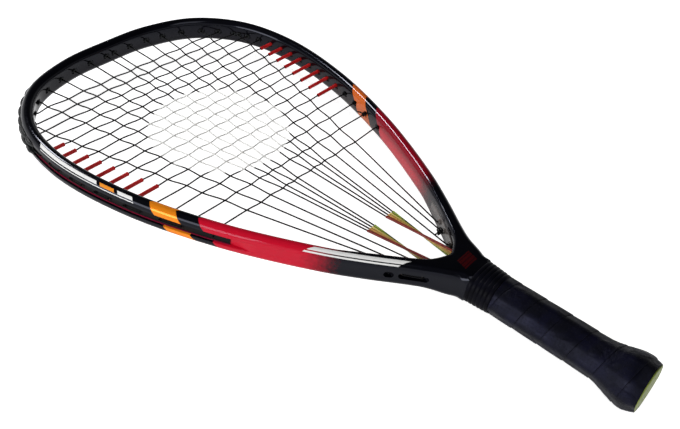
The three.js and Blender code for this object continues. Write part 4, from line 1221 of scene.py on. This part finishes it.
def grip_ring(y, half_width, half_height, steps=96, power=2.0):
    """Ring across the handle: an ellipse with eight soft bevels, or boxier with a higher power."""
    turn = 2 * np.pi * np.arange(steps) / steps
    reach = (np.abs(np.cos(turn)) / half_width) ** power + (np.abs(np.sin(turn)) / half_height) ** power
    reach = reach ** (-1 / power)
    if power == 2.0:
        reach = reach * (1 + BEVEL_SHARE * np.cos(8 * turn))
    return np.column_stack([reach * np.cos(turn), np.full(steps, y), reach * np.sin(turn)])


def wrap_rings():
    """Rings of the spiral tape: each turn's lower edge laps over the turn below it."""
    turn = 2 * np.pi * np.arange(WRAP_STEPS) / WRAP_STEPS
    swell = 1 + BEVEL_SHARE * np.cos(8 * turn)
    start = (SEAM_Y / WRAP_PITCH - 0.5) % 1
    rings, seam_shades = [], []
    for k in range(-2, math.ceil(GRIP_END_Y / WRAP_PITCH + 1.5) + 1):
        for share, lift, seam in TAPE_LAP:
            y = (k + share + start + turn / (2 * np.pi)) * WRAP_PITCH
            y = np.minimum(np.maximum(y, tape_rim(turn)), GRIP_END_Y)
            wide, high = (half * swell + WRAP_LAP * (lift - 1) for half in flare_at(y))
            ring = np.column_stack([wide * np.cos(turn), y, high * np.sin(turn)])
            rings.append(ring - settle(y)[:, None] * [1, 0, 1])
            seam_shades.append(np.full(WRAP_STEPS, seam))
    return np.array(rings), np.ravel(seam_shades)


def wrap_mesh():
    """Skin of the tape: it climbs one pitch a turn, so each ring's end joins the start of the next turn."""
    rings, seam_shades = wrap_rings()
    n, steps, per_turn = len(rings), WRAP_STEPS, len(TAPE_LAP)
    points = rings.reshape(-1, 3)
    faces, uvs = [], []
    for i in range(n - 1):
        for j in range(steps):
            quad = [i * steps + j, i * steps + j + 1, (i + 1) * steps + j + 1, (i + 1) * steps + j]
            if j + 1 == steps:
                if i + per_turn + 1 >= n:
                    continue
                quad[1:3] = [(i + per_turn) * steps, (i + per_turn + 1) * steps]
            a, b, c, d = points[quad]
            if np.linalg.norm(np.cross(c - a, d - b)) < 1e-6:
                continue
            faces.append(quad)
            turns = (j, j + 1, j + 1, j)
            uvs.append([[corner[1], 100.0 * v / steps] for corner, v in zip((a, b, c, d), turns)])
    used = sorted({index for face in faces for index in face})
    number = {index: place for place, index in enumerate(used)}
    faces = [[number[index] for index in face] for face in faces]
    mesh = build_mesh("grip_tape_wound", [(points[used], faces, uvs)], 60)
    write_attribute(mesh, "seam", seam_shades[used])
    return mesh


def collar_shell():
    """Ribbed sleeve, oval at the grip and boxier where it grips the shaft."""
    steps = COLLAR_RIBS * 14
    rings = [grip_ring(COLLAR_START_Y, 12.6, 10.6)]
    for i in range(steps + 1):
        share = i / steps
        crest = 0.2 + COLLAR_RIB_HEIGHT * max(0.0, math.sin(math.pi * (share * COLLAR_RIBS % 1))) ** 0.55
        y = COLLAR_START_Y + (COLLAR_END_Y - COLLAR_START_Y) * share
        wide, high = GRIP_HALF_WIDTH + 0.5 * share + crest, GRIP_HALF_HEIGHT - 1.3 * share + crest
        rings.append(settled(grip_ring(y, wide, high, power=2.001 + 0.9 * share), y))
    for y, inset in ((COLLAR_END_Y, 0), (COLLAR_END_Y - 1, 0.2)):
        rings.append(grip_ring(y, 15.6 - inset, 11.8 - inset, power=2.8))
    return loft(rings, caps=False)


def cap_shell():
    """Cap over the butt: its skirt inside the tape, a nearly flat dome, and the hole for the plug."""
    wide, high = (half - CAP_INSET for half in flare_at(DOME_DEPTH))
    rings = [settled(grip_ring(y, wide - inset, high - inset), DOME_DEPTH)
             for y, inset in ((6.0, 2.0), (DOME_DEPTH + 0.4, 0.2))]
    for turn in np.linspace(math.pi / 2, 0, 10):
        share = math.sin(turn)
        width = PLUG_HALF_WIDTH + (wide - PLUG_HALF_WIDTH) * share
        height = PLUG_HALF_HEIGHT + (high - PLUG_HALF_HEIGHT) * share
        ring = grip_ring(0.94 * DOME_DEPTH * (1 - math.cos(turn)), width, height)
        rings.append(settled(ring, DOME_DEPTH, share))
    for y, inset in ((0.25, 0.35), (1.6, 0.5)):
        rings.append(grip_ring(y, PLUG_HALF_WIDTH - inset, PLUG_HALF_HEIGHT - inset))
    return loft(rings, caps=False)


def plug_shell():
    """Plug in the cap's hole, with a rounded edge."""
    wide, high = PLUG_HALF_WIDTH - 1.0, PLUG_HALF_HEIGHT - 1.0
    edge = [(0.0, 0.6), (0.05, 0.25), (0.3, 0.05), (1.9, 0.0)]
    return loft([grip_ring(0.0, 2.0, 1.6)] + [grip_ring(y, wide - inset, high - inset) for y, inset in edge])


# The racket
lacquer = frame_lacquer()
nylon = string_nylon()
guard_plastic = plastic("guard_plastic", (0.006, 0.007, 0.008), (0.014, 0.015, 0.016), 0.42)
strip_red = edged_plastic("strip_red", (0.002, 0.0015, 0.002), (0.15, 0.004, 0.022), 2.75)
tube_red = plastic("tube_red", (0.58, 0.012, 0.014), (0.70, 0.024, 0.024), 0.36)
smoky = plastic("smoky_plastic", (0.055, 0.047, 0.045), (0.11, 0.095, 0.09), 0.24,
                Coat_Weight=0.4, Coat_Roughness=0.08)
tube_tones = {
    "olive_tube": ((0.26, 0.36, 0.05), (0.34, 0.44, 0.08)),
    "yellow_tube": ((0.62, 0.50, 0.12), (0.72, 0.60, 0.18)),
    "orange_tube": ((0.62, 0.30, 0.07), (0.72, 0.38, 0.12)),
    "brown_tube": ((0.20, 0.028, 0.022), (0.28, 0.04, 0.032)),
}
bundle = [(slot, plastic(slot, *tones, 0.36)) for slot, tones in tube_tones.items()]
foam = plastic("pallet_foam", (0.55, 0.50, 0.42), (0.66, 0.61, 0.52), 0.85, fine=0.8, bump=0.5)
rubber = plastic("collar_rubber", (0.0010, 0.0010, 0.0025), (0.0025, 0.0025, 0.006), 0.40, bump=0.3,
                 Specular_IOR_Level=0.05)
lime = plastic("lime_plastic", (0.20, 0.25, 0.045), (0.28, 0.34, 0.07), 0.40)
tape = grip_tape()

dress_mesh("lacquered_frame", smooth_frame(), lacquer, "frame_lacquer", "frame")
dress("ribbed_guard", guard_shells(), guard_plastic, "guard_plastic", "tip_guard")
for side, word in ((-1, "left"), (1, "right")):
    dress(f"groove_strip_{word}", strip_shells(side), strip_red, "red_plastic", f"side_grommet_strip_{word}")
    dress(f"smoky_eyelets_{word}", eyelet_shells(side), smoky, "smoky_plastic", f"throat_eyelet_strip_{word}")
    for number, row in enumerate(TUBED_ROWS, 1):
        dress(f"red_tube_{word}_{number}", [red_tube_shell(row, side)], tube_red, "red_plastic",
              f"cross_tube_{word}_{number}")
    for order, (slot, tone) in enumerate(bundle[::side]):
        node = f"throat_tube_{word}_{order + 1}"
        dress(f"{slot}_{word}", [throat_tube_shell(order, side)], tone, slot, node)
main_tie = throat_ports[1].at(-HALF_BEAM - EYELET_HEIGHT - 3.0)
main_shells = [string_shell(main_path())] + knot_shells(main_tie, throat_way, 0.95, [-6.0, 0.5, -0.5])
cross_tie = cross_ports[1].at(-HALF_BEAM - 1.9)
cross_shells = [string_shell(cross_path())] + knot_shells(cross_tie, ACROSS, 0.5, [-1.6, 6.0, 0.6])
dress("woven_mains", main_shells, nylon, "string_nylon", "main_string", 80)
dress("woven_crosses", cross_shells, nylon, "string_nylon", "cross_string", 80)
dress_mesh("grip_tape_wound", wrap_mesh(), tape, "grip_tape", "grip_wrap")
dress("ribbed_collar", [collar_shell()], rubber, "collar_rubber", "grip_collar")
dress("domed_cap", [cap_shell()], lime, "lime_plastic", "butt_cap")
dress("cap_plug", [plug_shell()], lime, "lime_plastic", "butt_plug")
for name in ("handle_pallet_left", "handle_pallet_right"):
    pallet = bpy.data.objects[name].data
    pallet.materials.clear()
    pallet.materials.append(foam)

# Stage
FLOOR_GAP, FLOOR_HALF_SIZE = 0.05, 6000.0
floor_z = min(corner[2] for corner in (cad_box[0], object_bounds()[0])) / MM - FLOOR_GAP
floor_corners = np.array([(-1, -1), (1, -1), (1, 1), (-1, 1)]) * FLOOR_HALF_SIZE
floor_mesh = bpy.data.meshes.new("studio_floor")
floor_mesh.from_pydata([(x * MM, y * MM, floor_z * MM) for x, y in floor_corners], [], [(0, 1, 2, 3)])
floor_mesh.materials.append(studio_floor())
floor_object = add_object("studio_floor", floor_mesh)
floor_object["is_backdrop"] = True


def soft_box(name, place, target, size, power):
    """Area lamp at a place in metres, turned to a target."""
    lamp = bpy.data.lights.new(name, "AREA")
    lamp.shape = "RECTANGLE"
    lamp.size, lamp.size_y = size
    lamp.energy = power
    way = unit(np.subtract(target, place))
    right, above = square_pair(way, UP)
    axes = np.column_stack([right, above, -way, place])
    add_object(name, lamp).matrix_world = Matrix([*axes, [0, 0, 0, 1]])


soft_box("key_box", (0.08, 1.5, 1.1), (0, 0.3, 0), (0.3, 0.24), 8)
soft_box("side_box", (-1.9, 0.5, 0.5), (-0.1, 0.35, 0.02), (1.6, 0.9), 24)
soft_box("fill_box", (-0.1, -1.1, 1.9), (0, 0.25, 0), (1.2, 1.2), 8)

scene = bpy.context.scene
scene.world = scene.world or bpy.data.worlds.new("studio_world")
studio_world(scene.world)
scene.view_settings.view_transform = "Standard"

# Camera: the photograph's view, with its place in millimetres
FOCAL_PIXELS = 930.0
IMAGE_WIDTH = 680
CAMERA_PLACE = (-480.04, -44.28, 465.89)
CAMERA_RIGHT = (0.62652, -0.76955, 0.12355)
CAMERA_DOWN = (-0.44457, -0.48305, -0.75434)
camera_ahead = np.cross(CAMERA_RIGHT, CAMERA_DOWN)
camera_data = bpy.data.cameras.new("camera")
camera_data.sensor_width = 36.0
camera_data.lens = camera_data.sensor_width * FOCAL_PIXELS / IMAGE_WIDTH
camera_data.clip_start = 0.01
scene.camera = add_object("camera", camera_data)
axes = np.column_stack([CAMERA_RIGHT, np.negative(CAMERA_DOWN), -camera_ahead, np.multiply(CAMERA_PLACE, MM)])
scene.camera.matrix_world = Matrix([*axes, [0, 0, 0, 1]])
